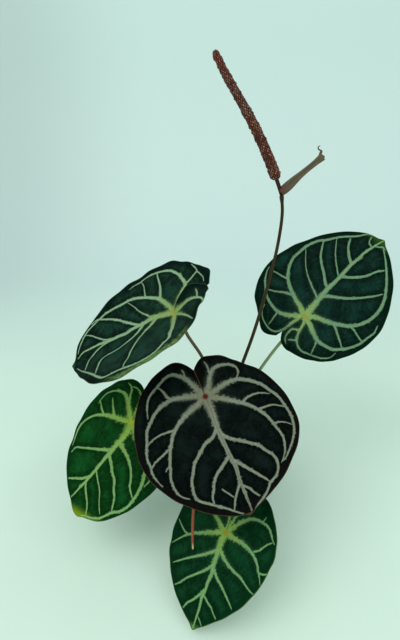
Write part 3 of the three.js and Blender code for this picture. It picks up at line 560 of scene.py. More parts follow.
def grid_cells(bm, columns, rows, place, material=0):
    """Grid whose corners are moved by place(u, v); the UV map keeps u and v."""
    uv_layer = bm.loops.layers.uv.get("UVMap") or bm.loops.layers.uv.new("UVMap")
    verts, u, v = unit_grid(bm, columns, rows)
    for face in {face for vert in verts for face in vert.link_faces}:
        face.material_index = material
        face.smooth = True
        for loop in face.loops:
            loop[uv_layer].uv = (loop.vert.co.x + 0.5, loop.vert.co.y + 0.5)
    for vert, point in zip(verts, place(u, v)):
        vert.co = point
    return verts


def add_tube(bm, path, radii, sides, material=0, start_side=(1, 0, 0), swell=None):
    """Closed round tube along a path. swell(u, v) multiplies the radius."""
    _, across, over = (np.vstack([rows[:1], rows, rows[-1:]]) for rows in path_frames(path, start_side))
    path = np.vstack([path[:1], path, path[-1:]])
    radii = np.concatenate([[0], radii, [0]])

    def place(u, v):
        row = np.rint(v * (len(path) - 1)).astype(int)
        step = np.rint(u * sides) % sides
        angle = step * (TURN / sides)
        radius = radii[row]
        if swell is not None:
            radius = radius * swell(step / sides, v)
        return path[row] + across[row] * (np.cos(angle) * radius)[:, None] + over[row] * (
            np.sin(angle) * radius)[:, None]

    verts = grid_cells(bm, sides, len(path) - 1, place, material)
    bmesh.ops.remove_doubles(bm, verts=verts, dist=1e-5)


def write_vectors(mesh, label, domain, vectors):
    """Vector attribute for a material to read."""
    mesh.attributes.new(label, "FLOAT_VECTOR", domain).data.foreach_set("vector", vectors.ravel())


def scene_mesh(name, bm):
    """Mesh from a bmesh, which is freed."""
    mesh = bpy.data.meshes.new(name)
    bm.to_mesh(mesh)
    bm.free()
    return mesh


def scene_object(name, data):
    """New object in the scene."""
    thing = bpy.data.objects.new(name, data)
    bpy.context.scene.collection.objects.link(thing)
    return thing


def finish_piece(name, bm, materials, node):
    """Object from a bmesh in millimetres that rides on the part in place of one of its nodes."""
    bmesh.ops.scale(bm, vec=(MM, MM, MM), verts=bm.verts[:])
    piece = scene_object(name, scene_mesh(name, bm))
    for material in materials:
        piece.data.materials.append(material)
    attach(piece, "root")
    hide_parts(node)
    return piece


# Shader trees

class Tree:
    """Writes a node tree; each call adds a node and gives back an output socket."""

    def __init__(self, tree):
        self.tree = tree

    def node(self, kind, feeds=None, **settings):
        node = self.tree.nodes.new(kind)
        for key, value in settings.items():
            setattr(node, key, value)
        for key, value in (feeds or {}).items():
            self.feed(node.inputs[key], value)
        return node

    def feed(self, socket, value):
        if isinstance(value, bpy.types.NodeSocket):
            self.tree.links.new(value, socket)
        elif socket.type == "RGBA":
            socket.default_value = (*value, 1.0)
        else:
            socket.default_value = value

    def math(self, operation, a, b=0.0, clamp=False):
        return self.node("ShaderNodeMath", {0: a, 1: b}, operation=operation, use_clamp=clamp).outputs[0]

    def chain(self, operation, values):
        result = values[0]
        for value in values[1:]:
            result = self.math(operation, result, value)
        return result

    def add(self, *values):
        return self.chain("ADD", values)

    def times(self, *values):
        return self.chain("MULTIPLY", values)

    def minus(self, a, b):
        return self.math("SUBTRACT", a, b)

    def ramp(self, value, low, high, to_low=0.0, to_high=1.0):
        feeds = {"Value": value, "From Min": low, "From Max": high, "To Min": to_low, "To Max": to_high}
        return self.node("ShaderNodeMapRange", feeds, interpolation_type="SMOOTHSTEP").outputs["Result"]

    def spread(self, noise, low=0.0, high=1.0):
        """The usual range of a noise, spread from low to high."""
        return self.ramp(noise, 0.3, 0.7, low, high)

    def mix(self, factor, a, b):
        return self.node("ShaderNodeMix", {0: factor, 6: a, 7: b}, data_type="RGBA").outputs[2]

    def tones(self, mask, colour, dark):
        """A colour that is darker, by a factor, where the mask is low."""
        return self.mix(mask, shade(colour, dark), colour)

    def lay(self, base, colour, *masks):
        """A colour over a base, as strong as the product of the masks."""
        return self.mix(self.times(*masks), base, colour)

    def split(self, vector):
        return self.node("ShaderNodeSeparateXYZ", {0: vector}).outputs

    def join(self, x, y, z):
        return self.node("ShaderNodeCombineXYZ", {0: x, 1: y, 2: z}).outputs[0]

    def stretch(self, vector, scale):
        return self.node("ShaderNodeVectorMath", {0: vector, 1: scale}, operation="MULTIPLY").outputs[0]

    def noise(self, vector, scale, detail=2.0, roughness=0.5):
        feeds = {"Vector": vector, "Scale": scale, "Detail": detail, "Roughness": roughness}
        return self.node("ShaderNodeTexNoise", feeds).outputs[0]

    def cell_edges(self, vector):
        feeds = {"Vector": vector, "Scale": 1.0}
        return self.node("ShaderNodeTexVoronoi", feeds, feature="DISTANCE_TO_EDGE").outputs[0]

    def attribute(self, name):
        return self.node("ShaderNodeAttribute", attribute_name=name).outputs["Vector"]

    def object_place(self):
        return self.node("ShaderNodeTexCoord").outputs["Object"]

    def map_place(self):
        return self.node("ShaderNodeUVMap", uv_map="UVMap").outputs[0]

    def group(self, name, feeds):
        return self.node("ShaderNodeGroup", feeds, node_tree=bpy.data.node_groups[name]).outputs

    def grain(self, scale):
        return self.group("Grain", {"Place": self.object_place(), "Scale": scale})

    def streaks(self, length, girth):
        return self.group("Skin streaks", {"Place": self.map_place(), "Length": length, "Girth": girth})

    def bump(self, height, distance, strength):
        feeds = {"Height": height, "Distance": distance, "Strength": strength}
        return self.node("ShaderNodeBump", feeds).outputs[0]


def new_group(name, inputs):
    """Tree writer and inputs of a new shader node group; an input with no default is a vector."""
    group = bpy.data.node_groups.new(name, "ShaderNodeTree")
    for label, default in inputs.items():
        kind = "NodeSocketVector" if default is None else "NodeSocketFloat"
        socket = group.interface.new_socket(label, in_out="INPUT", socket_type=kind)
        if default is not None:
            socket.default_value = default
    tree = Tree(group)
    return tree, tree.node("NodeGroupInput").outputs


def close_group(tree, **outputs):
    """Values that a node group puts out."""
    for label in outputs:
        tree.tree.interface.new_socket(label, in_out="OUTPUT", socket_type="NodeSocketFloat")
    tree.node("NodeGroupOutput", outputs)


def new_material(name, feeds, specular=0.5):
    """Material with one Principled shader; feeds(tree) gives its colour, its roughness and often a normal."""
    material = bpy.data.materials.new(name)
    material.use_nodes = True
    tree = Tree(material.node_tree)
    shader = material.node_tree.nodes["Principled BSDF"]
    tree.feed(shader.inputs["Specular IOR Level"], specular)
    for label, value in zip(("Base Color", "Roughness", "Normal"), feeds(tree)):
        tree.feed(shader.inputs[label], value)
    return material


def build_groups():
    """The effects that more than one material uses."""
    looks = {"Ragged": 0.3, "Spurs": 0.8, "Feather": 0.0}

    tree, given = new_group("Vein edge", {"Place": None, **looks})
    across, along, half = tree.split(given["Place"])
    is_midrib = tree.math("GREATER_THAN", half, RIB_MARK / 2)
    half = tree.minus(half, tree.times(is_midrib, RIB_MARK))
    distance = tree.math("ABSOLUTE", across)
    side = tree.times(tree.math("SIGN", across), 11.0)
    lane = tree.join(along, side, 0.0)
    swept = tree.join(tree.minus(along, tree.times(distance, 0.7)), side, 5.0)
    spurs = tree.times(given["Spurs"], tree.ramp(tree.noise(lane, 0.09, 1.0), 0.35, 0.65, 0.35, 1.3))
    spikes = tree.times(tree.ramp(tree.noise(swept, 0.42), 0.50, 0.72), spurs,
                        tree.add(tree.times(half, 0.6), 0.5))
    barbs = tree.times(tree.ramp(tree.noise(swept, 0.62), 0.40, 0.66), given["Feather"],
                       tree.add(tree.times(half, 0.55), 1.5))
    wander = tree.times(tree.minus(tree.noise(lane, 0.21), 0.5), given["Ragged"], 2.0)
    reach = tree.add(tree.times(half, tree.add(wander, 0.86)), spikes, barbs)
    mask = tree.times(tree.ramp(distance, tree.add(half, 2.6), tree.times(half, 0.5), 0.5, 1.0),
                      tree.ramp(distance, tree.add(reach, 0.35), tree.minus(reach, 0.35)))
    halo = tree.times(tree.ramp(tree.noise(swept, 1.1), 0.34, 0.66, 0.25, 1.0),
                      tree.ramp(distance, tree.add(half, 5.0), tree.times(half, 0.7)))
    close_group(tree, Mask=mask, Core=tree.ramp(distance, half, 0.0),
                Line=tree.times(is_midrib, tree.ramp(distance, 0.62, 0.15)), Halo=halo)

    tree, given = new_group("Leaf veins", {"Nearest": None, "Second": None, **looks})
    feeds = {label: given[label] for label in looks}
    first = tree.group("Vein edge", {"Place": given["Nearest"], **feeds})
    other = tree.group("Vein edge", {"Place": given["Second"], **feeds})
    close_group(tree, **{mask.name: tree.math("MAXIMUM", mask, other[mask.name]) for mask in first})

    tree, given = new_group("Velvet lamina", {"Place": None, "Nearest": None})
    flat = tree.stretch(given["Place"], (1, 1, 0))
    across, along, _ = tree.split(given["Nearest"])
    combed = tree.noise(tree.join(tree.times(along, 0.32), tree.times(across, 0.05), 0.0), 1.0)
    close_group(tree, Tone=tree.noise(flat, 0.045, 3.0), Lines=combed,
                Net=tree.ramp(tree.cell_edges(tree.stretch(flat, (0.30, 0.22, 1.0))), 0.06, 0.0),
                Height=tree.add(tree.times(tree.noise(flat, 2.6), 0.35), tree.times(combed, 0.65)))

    tree, given = new_group("Skin streaks", {"Place": None, "Length": 40.0, "Girth": 4.0})
    u, v, _ = tree.split(given["Place"])
    turn = tree.times(u, TURN)
    ring = tree.join(tree.times(tree.math("COSINE", turn), given["Girth"]),
                     tree.times(tree.math("SINE", turn), given["Girth"]), tree.times(v, given["Length"]))
    streaks = tree.noise(tree.stretch(ring, (1.6, 1.6, 0.12)), 1.0, 3.0)
    flecks = tree.noise(tree.stretch(ring, (2.2, 2.2, 0.9)), 1.0)
    close_group(tree, Tone=streaks, Flecks=tree.ramp(flecks, 0.58, 0.72),
                Height=tree.add(streaks, tree.times(flecks, 0.4)))

    tree, given = new_group("Grain", {"Place": None, "Scale": 1.0})
    broad = tree.noise(given["Place"], given["Scale"], 4.0, 0.6)
    fine = tree.noise(given["Place"], tree.times(given["Scale"], 6.0))
    close_group(tree, Tone=tree.ramp(broad, 0.35, 0.65), Fine=fine,
                Height=tree.add(tree.times(broad, 0.6), tree.times(fine, 0.4)))


# Leaf blades

class BladeForm:
    """Rest form of one blade, in millimetres: a point for an angle from the tip and a share of the reach."""

    def __init__(self, leaf):
        self.leaf = leaf
        heading, rise, roll = (math.radians(leaf[key]) for key in ("heading", "rise", "roll"))
        self.midrib = np.array([math.sin(heading) * math.cos(rise), -math.cos(heading) * math.cos(rise),
                                math.sin(rise)])
        side = np.array([math.cos(heading), math.sin(heading), 0])
        face = np.cross(side, self.midrib)
        if face[2] < 0:
            side, face = -side, -face
        self.right = side * math.cos(roll) + face * math.sin(roll)
        self.normal = face * math.cos(roll) - side * math.sin(roll)

    def side_value(self, angle, key):
        """Value of the half of the blade that an angle lies in."""
        return np.where(angle < 0, self.leaf["left"].get(key, 0), self.leaf["right"].get(key, 0))

    def reach(self, angle):
        """Distance from the junction to the margin."""
        degrees = np.degrees(np.abs(angle))
        reaches = [interpolate(STATIONS, self.leaf[side]["radii"], degrees * 180 / self.leaf[side]["end"])
                   for side in ("left", "right")]
        turn, length, spread = self.leaf["tip"]
        point = length * np.exp(-((np.degrees(angle) - turn) / spread) ** 2)
        phase = self.leaf["phase"]
        slow, quick = OUTLINE_SWINGS
        swing = np.sin(slow * angle + phase) + 0.8 * np.sin(quick * angle - phase)
        uneven = 1 + self.leaf["uneven"] * swing
        return np.where(angle < 0, reaches[0], reaches[1]) * uneven + point

    def flat(self, angle, share):
        """Place on the flattened blade: across the midrib and along it."""
        distance = share * self.reach(angle)
        return distance * np.sin(angle), distance * np.cos(angle)

    def surface(self, angle, share):
        leaf, phase = self.leaf, self.leaf["phase"]
        x, y = self.flat(angle, share)
        height = math.tan(math.radians(leaf["fold"])) * (np.hypot(x, FOLD_SOFTNESS) - FOLD_SOFTNESS)
        height = height - leaf["cup"] * x * x / 1000
        climb = np.where(self.side_value(angle, "steep"), 1 - (1 - np.clip(share, 0, 1)) ** 3, share ** 2)
        height = height + smoothstep(np.abs(angle), *LOBE_SPAN) * climb * self.side_value(angle, "lift")
        small = 0.4 * share ** 4 * np.sin(RIPPLE_SWINGS * angle - phase)
        ripple = np.sin(leaf["waves"] * angle + phase) + small
        height = height + leaf["wave"] * share ** 3 * ripple * smoothstep(np.abs(angle), *WAVE_SPAN)
        bend = np.where(y > 0, leaf["tip_bend"], leaf["lobe_bend"]) / 1000
        turn = bend * y
        across = x * math.cos(math.radians(FOLD_NARROWING * leaf["fold"]))
        along = np.sin(turn) / bend + height * np.sin(turn)
        up = -(1 - np.cos(turn)) / bend + height * np.cos(turn)
        return (np.array(leaf["junction"], float) + across[:, None] * self.right
                + along[:, None] * self.midrib + up[:, None] * self.normal)

    def surface_normal(self, angle, share):
        step = 0.02
        share = np.maximum(share, 2 * step)
        out = self.surface(angle, share + step) - self.surface(angle, share - step)
        around = self.surface(angle + step, share) - self.surface(angle - step, share)
        return unit_rows(np.cross(around, out))


def vein_courses(name, form):
    """Each vein of a blade as its flat course, its half widths and the radius of its rib."""
    courses = []
    girth = form.leaf["girth"]
    for kind, *marks in VEINS[name]:
        if kind in ("midrib", "basal"):
            marks = [(0, 0), *marks]
        angle, share = np.radians([mark[0] for mark in marks]), np.array([mark[1] for mark in marks], float)
        line = smooth_route(np.stack(form.flat(angle, share), axis=1), 1.5)
        start, end, rib = VEIN_WIDTHS[kind]
        run = path_lengths(line)
        along = run / run[-1]
        half = (start + (end - start) * along ** 1.25) * girth * (1 - 0.4 * smoothstep(along, 0.86, 1))
        courses.append(dict(kind=kind, line=line, run=run, half=half, rib=rib * girth,
                            side=np.sign(np.median(angle))))
    return courses


def measure_vein(course, x, y):
    """Signed distance to a vein, length along it, its half width there, and whether an end is nearest."""
    line, run = course["line"], course["run"]
    start, step = line[:-1], np.diff(line, axis=0)
    dx, dy = x[:, None] - start[:, 0], y[:, None] - start[:, 1]
    raw = (dx * step[:, 0] + dy * step[:, 1]) / (step ** 2).sum(axis=1)
    t = np.clip(raw, 0, 1)
    gap = np.hypot(dx - t * step[:, 0], dy - t * step[:, 1])
    nearest = gap.argmin(axis=1)
    rows = np.arange(len(x))
    cross = step[nearest, 0] * dy[rows, nearest] - step[nearest, 1] * dx[rows, nearest]
    signed = gap[rows, nearest] * np.where(cross < 0, -1.0, 1.0)
    along = run[nearest] + t[rows, nearest] * (run[nearest + 1] - run[nearest])
    half = np.interp(along, run, course["half"])
    raw = raw[rows, nearest]
    is_end = ((nearest == 0) & (raw < 0)) | ((nearest == len(step) - 1) & (raw > 1))
    return signed, along, half, is_end


def blade_sheet(form, courses, settings):
    """Middle sheet of a blade as a bmesh, with the flat place and vein distances of its vertices."""
    columns, rings = settings.columns, settings.rings
    left_end, right_end = (math.radians(form.leaf[side]["end"]) for side in ("left", "right"))
    bm = bmesh.new()
    source = bm.verts.layers.int.new("source")
    verts, u, v = unit_grid(bm, columns, rings)
    turn = np.rint(u * columns) / columns * 2 - 1
    crowded = np.abs(turn) ** TIP_CROWDING
    angle = np.where(turn < 0, -crowded * left_end, crowded * right_end)
    share = np.rint(v * rings) / rings
    x, y = form.flat(angle, share)
    signed, along, half, is_end = (
        np.array(parts) for parts in zip(*(measure_vein(course, x, y) for course in courses)))
    ribbed = [i for i, course in enumerate(courses) if course["rib"] > 0]
    clear = np.maximum((np.abs(signed) - half * 0.6)[ribbed], 0).min(axis=0)
    from_sinus = np.clip(np.radians(form.side_value(angle, "end")) - np.abs(angle), 0, math.pi / 2)
    margin = form.reach(angle) * np.minimum(1 - share, share * np.sin(from_sinus))
    channel, quilting, quilting_reach = in_mm(settings, "channel", "quilting", "quilting_reach")
    relief = (quilting * (1 - np.exp(-(clear / (quilting_reach * 0.6)) ** 2))
              - channel * np.exp(-(clear / CHANNEL_REACH) ** 2))
    relief = relief * smoothstep(margin, 0, RIM_SETTLING) * smoothstep(share, 0, 0.08)
    points = form.surface(angle, share) + form.surface_normal(angle, share) * relief[:, None]
    for i, (vert, point) in enumerate(zip(verts, points)):
        vert.co = point
        vert[source] = i + 1
    pole = [vert for vert, ring in zip(verts, share) if ring == 0]
    bmesh.ops.pointmerge(bm, verts=pole, merge_co=pole[0].co.copy())
    return bm, dict(x=x, y=y, margin=margin, signed=signed, along=along, half=half, is_end=is_end)


def thicken_blade(bm, margin, settings):
    """Upper and lower face of a blade from its middle sheet, thinner at the margin, with a closed edge."""
    source = bm.verts.layers.int["source"]
    bm.normal_update()
    upper = bm.verts[:]
    normals = {vert[source]: vert.normal.copy() for vert in upper}
    for face in bm.faces:
        face.smooth = True
    doubled = bmesh.ops.duplicate(bm, geom=bm.verts[:] + bm.edges[:] + bm.faces[:])["geom"]
    under = [item for item in doubled if isinstance(item, bmesh.types.BMFace)]
    lower = [item for item in doubled if isinstance(item, bmesh.types.BMVert)]
    bmesh.ops.reverse_faces(bm, faces=under)
    for face in under:
        face.material_index = 1
    thin, full = (thickness / 2 for thickness in in_mm(settings, "margin_thickness", "thickness"))
    for side, verts in ((1, upper), (-1, lower)):
        for vert in verts:
            settled = min(margin[vert[source] - 1] / 4, 1) ** 0.5
            vert.co += normals[vert[source]] * side * (thin + (full - thin) * settled)
    rim = bmesh.ops.bridge_loops(bm, edges=[edge for edge in bm.edges if edge.is_boundary])
    for face in rim["faces"]:
        face.material_index = 2
        face.smooth = False


def add_ribs(bm, form, courses, settings):
    """Raised ribs under the blade, along its main veins."""
    for course in courses:
        if course["rib"] == 0:
            continue
        line = course["line"][::2]
        reach = np.hypot(line[:, 0], line[:, 1])
        angle = np.arctan2(line[:, 0], line[:, 1])
        over_sinus = (np.sign(angle) * course["side"] < 0) & (np.abs(angle) > math.pi / 2)
        angle = np.where(over_sinus, angle + course["side"] * TURN, angle)
        share = np.minimum(reach / form.reach(angle), 0.985)
        run = path_lengths(line)
        taper = run / run[-1]
        radii = course["rib"] * (1 - 0.62 * taper ** 0.8) * np.sqrt(np.clip((1 - taper) * 8, 0.05, 1))
        depth = settings.channel / MM * smoothstep(share, 0, 0.08) + radii + 0.1
        path = form.surface(angle, share) - form.surface_normal(angle, share) * depth[:, None]
        add_tube(bm, path, radii, 8, material=3, start_side=form.right + form.midrib * 0.3)


def read_ints(items, key):
    """One whole number of each item of a mesh."""
    values = np.empty(len(items), np.int32)
    items.foreach_get(key, values)
    return values


def write_vein_places(mesh, facts, courses):
    """Corner attributes that hold, for the two nearest veins, the distance across, the length along and
    the half width, so that a face reads one vein from corner to corner."""
    vertex_of = read_ints(mesh.loops, "vertex_index")
    start, total = (read_ints(mesh.polygons, key) for key in ("loop_start", "loop_total"))
    place = np.maximum(read_ints(mesh.attributes["source"].data, "value") - 1, 0)
    corner = place[vertex_of]
    face_of = np.repeat(np.arange(len(start)), total)

    gap = (np.abs(facts["signed"]) - facts["half"])[:, corner]
    face_gap = np.add.reduceat(gap, start, axis=1) / total
    order = np.argsort(face_gap, axis=0)[:2]
    marks = np.array([RIB_MARK if course["kind"] == "midrib" else 0.0 for course in courses])
    for label, pick in (("vein_nearest", order[0]), ("vein_second", order[1])):
        vein = pick[face_of]
        across = facts["signed"][vein, corner]
        along = facts["along"][vein, corner] + vein * VEIN_STRIDE
        half = facts["half"][vein, corner] + marks[vein]
        # A face past a vein's end, or far from the vein, takes the distance without its side
        straddles = (np.maximum.reduceat(across, start) > 0) & (np.minimum.reduceat(across, start) < 0)
        least = np.minimum.reduceat(np.abs(across), start)
        ended = np.maximum.reduceat(facts["is_end"][vein, corner].astype(int), start) > 0
        plain = straddles & (ended | (least > 2.4))
        across = np.where(plain[face_of], np.abs(across), across)
        write_vectors(mesh, label, "CORNER", np.stack([across, along, half], axis=1))
    vectors = np.stack([facts[key][place] for key in ("x", "y", "margin")], axis=1)
    write_vectors(mesh, "leaf_place", "POINT", vectors)


def blade_groups(tree, place, ragged, spurs, feather):
    """What both faces of a blade read: nearest vein, vein masks and lamina."""
    nearest = tree.attribute("vein_nearest")
    veins = tree.group("Leaf veins", {"Nearest": nearest, "Second": tree.attribute("vein_second"),
                                      "Ragged": ragged, "Spurs": spurs, "Feather": feather})
    return nearest, veins, tree.group("Velvet lamina", {"Place": place, "Nearest": nearest})


def blade_face_material(name, finish, length):
    """Upper face: velvet lamina with painted sheen, pale feathered veins, margin, junction spot and tip."""
    colour = {key: srgb(*value) for key, value in finish.items() if isinstance(value, tuple)}

    def feeds(tree):
        place = tree.attribute("leaf_place")
        x, y, margin = tree.split(place)
        distance = tree.math("SQRT", tree.add(tree.times(x, x), tree.times(y, y)))
        near = tree.ramp(distance, 62.0, 8.0)
        feather = tree.times(near, finish["feather"])
        nearest, veins, lamina = blade_groups(tree, place, 0.34, finish["spurs"], feather)
        clear = tree.add(tree.math("ABSOLUTE", tree.split(nearest)[0]), tree.times(lamina["Tone"], 3.0))
        # Painted sheen: the lamina turns from dark to the light colour in the middle of each panel between
        # veins, a painted bluish highlight broken up by a random tone.
        panel = tree.times(tree.ramp(clear, 4.5, 11.0), tree.ramp(lamina["Tone"], 0.38, 0.64, 0.2, 1.0))
        base = tree.mix(panel, colour["dark"], colour["light"])
        # Painted sheen: the glow colour in combed streaks, stronger away from the veins; the streaks follow
        # the lamina's real fine striations.
        base = tree.lay(base, colour["glow"], tree.ramp(lamina["Lines"], 0.44, 0.70),
                        tree.ramp(clear, 2.0, 9.0, 0.08, 0.3))
        base = tree.lay(base, colour["vein"], lamina["Net"], finish["net"])
        ragged = tree.add(margin, tree.times(tree.minus(lamina["Tone"], 0.5), 8.0))
        base = tree.lay(base, colour["band"], tree.ramp(ragged, finish["band_width"], 3.0), 0.85)
        glow = tree.lay(colour["glow"], colour["vein"], near, 0.55)
        base = tree.lay(base, glow, veins["Halo"], tree.ramp(distance, 64.0, 4.0, 0.10, 0.5))
        if "pale_margin" in finish:
            side = tree.times(tree.ramp(x, -12.0, -30.0), tree.ramp(y, -34.0, -8.0), tree.ramp(y, 84.0, 56.0))
            torn = tree.add(ragged, tree.times(tree.minus(tree.noise(place, 0.13), 0.5), 16.0))
            blotch = tree.ramp(tree.noise(place, 0.24, 3.0), 0.40, 0.62)
            yellowed = tree.mix(blotch, srgb(70, 98, 56), srgb(118, 138, 80))
            base = tree.lay(base, yellowed, tree.ramp(torn, 10.0, 6.5), side, finish["pale_margin"])
        to_tip = tree.add(tree.minus(length, y), tree.times(lamina["Tone"], 6.0))
        base = tree.lay(base, colour["tip"], tree.ramp(to_tip, 3.0 + finish["tip_reach"] * 1.3, 2.0), 0.85)
        pale = tree.mix(veins["Core"], colour["vein"], colour["core"])
        pale = tree.lay(pale, colour["near"], tree.ramp(distance, finish["near_reach"], 3.0))
        faded = tree.ramp(tree.noise(place, 0.35), 0.30, 0.75, 0.74, 1.0)
        base = tree.lay(base, pale, veins["Mask"], faded)
        base = tree.lay(base, colour["line"], veins["Line"], 0.7)
        rim = tree.add(0.45, tree.times(tree.noise(place, 0.12), 0.9))
        base = tree.lay(base, colour["edge"], tree.ramp(margin, rim, tree.times(rim, 0.3)), 0.85)
        base = tree.lay(base, colour["spot"], tree.ramp(distance, 4.6, 1.6))
        height = tree.add(tree.times(lamina["Height"], 0.5), tree.times(veins["Core"], -0.6))
        rough = tree.minus(tree.ramp(lamina["Lines"], 0.35, 0.7, 0.50, 0.62), tree.times(veins["Mask"], 0.06))
        return base, rough, tree.bump(height, 0.00035, 0.7)

    return new_material(f"leaf_face_{name}", feeds, specular=0.022)


def blade_back_material(name, settings, finish):
    """Underside: paler matte lamina with its net of veins."""
    # The underside takes a quarter of the upper face's light colour, the lamina with its painted sheen.
    tinted = [0.75 * under + 0.25 * face for under, face in zip(settings.underside, srgb(*finish["light"]))]

    def feeds(tree):
        _, veins, lamina = blade_groups(tree, tree.attribute("leaf_place"), 0.2, 0.3, 0.0)
        base = tree.tones(tree.spread(lamina["Tone"]), tinted, 0.8)
        base = tree.lay(base, settings.ribs, lamina["Net"], 0.4)
        base = tree.lay(base, settings.ribs, veins["Mask"], 0.8)
        height = tree.add(tree.times(lamina["Height"], 0.5), tree.times(lamina["Net"], 0.5))
        return base, tree.spread(lamina["Tone"], 0.56, 0.66), tree.bump(height, 0.0003, 0.8)

    return new_material(f"leaf_back_{name}", feeds, specular=0.3)


def blade_edge_material(name, finish):
    """Thin rim of a blade."""
    def feeds(tree):
        grain = tree.grain(300.0)
        return tree.tones(grain["Tone"], srgb(*finish["edge"]), 0.7), tree.spread(grain["Fine"], 0.5, 0.65)
    return new_material(f"leaf_edge_{name}", feeds)


def rib_material(settings):
    """Pale ribs under the blades."""
    def feeds(tree):
        streaks = tree.streaks(90.0, 1.5)
        base = tree.tones(tree.ramp(streaks["Tone"], 0.35, 0.65), settings.ribs, 0.72)
        return base, tree.spread(streaks["Tone"], 0.42, 0.56), tree.bump(streaks["Height"], 0.0002, 0.6)
    return new_material("leaf_ribs", feeds)


class ANTHURIUM_OT_blades(bpy.types.Operator):
    """Add the five heart-shaped leaf blades"""
    bl_idname = "anthurium.blades"
    bl_label = "Leaf Blades"

    def execute(self, context):
        settings = context.scene.anthurium_blades
        ribs = rib_material(settings)
        for name, leaf in LEAVES.items():
            finish = LEAF_FINISHES[name]
            form = BladeForm(leaf)
            courses = vein_courses(name, form)
            bm, facts = blade_sheet(form, courses, settings)
            thicken_blade(bm, facts["margin"], settings)
            add_ribs(bm, form, courses, settings)
            materials = [blade_face_material(name, finish, leaf["right"]["radii"][0]),
                         blade_back_material(name, settings, finish), blade_edge_material(name, finish), ribs]
            piece = finish_piece(f"leaf_{name}", bm, materials, f"blade_{name}")
            write_vein_places(piece.data, facts, courses)
        return {"FINISHED"}


# Stalks and root

def stalk_material(name, main, flush, flush_low, flush_high, flecks=0.3, gloss=0.45):
    """Skin of a stalk: streaks along it, flecks, and a flush between two shares of its length."""
    def feeds(tree):
        streaks = tree.streaks(160.0, 3.0)
        base = tree.tones(tree.ramp(streaks["Tone"], 0.34, 0.66), main, 0.62)
        flushed = tree.times(tree.ramp(tree.split(tree.map_place())[1], flush_low, flush_high), 0.85)
        flushed = tree.math("MULTIPLY", flushed, tree.ramp(streaks["Tone"], 0.2, 0.6, 0.7, 1.0), clamp=True)
        base = tree.lay(base, flush, flushed)
        base = tree.lay(base, shade(flush, 0.4), streaks["Flecks"], flecks)
        return (base, tree.spread(streaks["Tone"], gloss - 0.05, gloss + 0.1),
                tree.bump(streaks["Height"], 0.0002, 0.7))
    return new_material(name, feeds, specular=0.18)


def petiole_path(name, leaf):
    """Route of a petiole from inside the stem to under the blade, in millimetres."""
    form = BladeForm(leaf)
    toward = np.array([*leaf["via"][0][:2], 0.0])
    seat = toward / np.linalg.norm(toward) * SEAT_REACH + np.array([0, 0, PETIOLE_SEATS[name]])
    back = form.normal + form.midrib * leaf["joint_lean"]
    back /= np.linalg.norm(back)
    junction = np.array(leaf["junction"], float)
    route = [seat, *leaf["via"], junction - back * JOINT_LENGTH, junction - form.normal * TIP_DEPTH]
    return smooth_route(route, 2.0)


class ANTHURIUM_OT_petioles(bpy.types.Operator):
    """Add the petioles, with the swollen joint under each blade"""
    bl_idname = "anthurium.petioles"
    bl_label = "Petioles"

    def execute(self, context):
        settings = context.scene.anthurium_stalks
        shaft, base, joint = in_mm(settings, "shaft_radius", "base_radius", "joint_radius")
        for name, leaf in LEAVES.items():
            path = petiole_path(name, leaf)
            run = path_lengths(path)
            left = run[-1] - run
            swollen = smoothstep(left, JOINT_LENGTH * 1.5, JOINT_LENGTH * 0.8)
            waist = smoothstep(left, JOINT_LENGTH * 1.9, JOINT_LENGTH * 1.5) * (1 - swollen) * 0.25
            radii = shaft + swollen * (joint - shaft) - waist
            radii = radii + (1 - smoothstep(run / run[-1], 0, 0.35)) * (base - shaft)
            radii = radii - (joint - 1.1) * smoothstep(left, 4.0, 0.0)

            def grooved(u, v):
                along = v * run[-1]
                groove = np.exp(-((u - 0.25) / 0.06) ** 2) * 0.16 * (1 - smoothstep(along, 0, run[-1] * 0.8))
                wrinkle = 0.03 * np.sin(u * 7 * TURN) * smoothstep(run[-1] - along, 18, 12)
                return 1 - groove - wrinkle

            bm = bmesh.new()
            add_tube(bm, path, radii, 20, start_side=(1, 0.2, 0), swell=grooved)
            # The upper petiole is flushed all along, the others only at their foot
            span = (-0.3, -0.1) if name == "upper" else (0.4, 0.0)
            skin = stalk_material(f"petiole_skin_{name}", settings.petiole, settings.petiole_flush, *span)
            finish_piece(f"petiole_stalk_{name}", bm, [skin], f"petiole_{name}")
        return {"FINISHED"}


class ANTHURIUM_OT_peduncle(bpy.types.Operator):
    """Add the slender flower stalk"""
    bl_idname = "anthurium.peduncle"
    bl_label = "Flower Stalk"

    def execute(self, context):
        settings = context.scene.anthurium_stalks
        path = smooth_route(PEDUNCLE_ROUTE, 2.5)
        share = path_lengths(path) / path_lengths(path)[-1]
        base, top, node = in_mm(settings, "peduncle_base", "peduncle_top", "peduncle_node")
        radii = base + (top - base) * share + smoothstep(share, 0.965, 0.99) * (node - top)
        radii = radii * np.sqrt(np.clip((1 - share) / 0.004, 0.1, 1))

        def ridged(u, v):
            return 1 + 0.05 * np.cos(u * 4 * TURN)

        bm = bmesh.new()
        add_tube(bm, path, radii, 24, swell=ridged)
        skin = stalk_material("flower_stalk_skin", settings.peduncle, settings.peduncle_flush, 0.72, 1.0,
                              flecks=0.5, gloss=0.38)
        finish_piece("flower_stalk", bm, [skin], "peduncle")
        return {"FINISHED"}


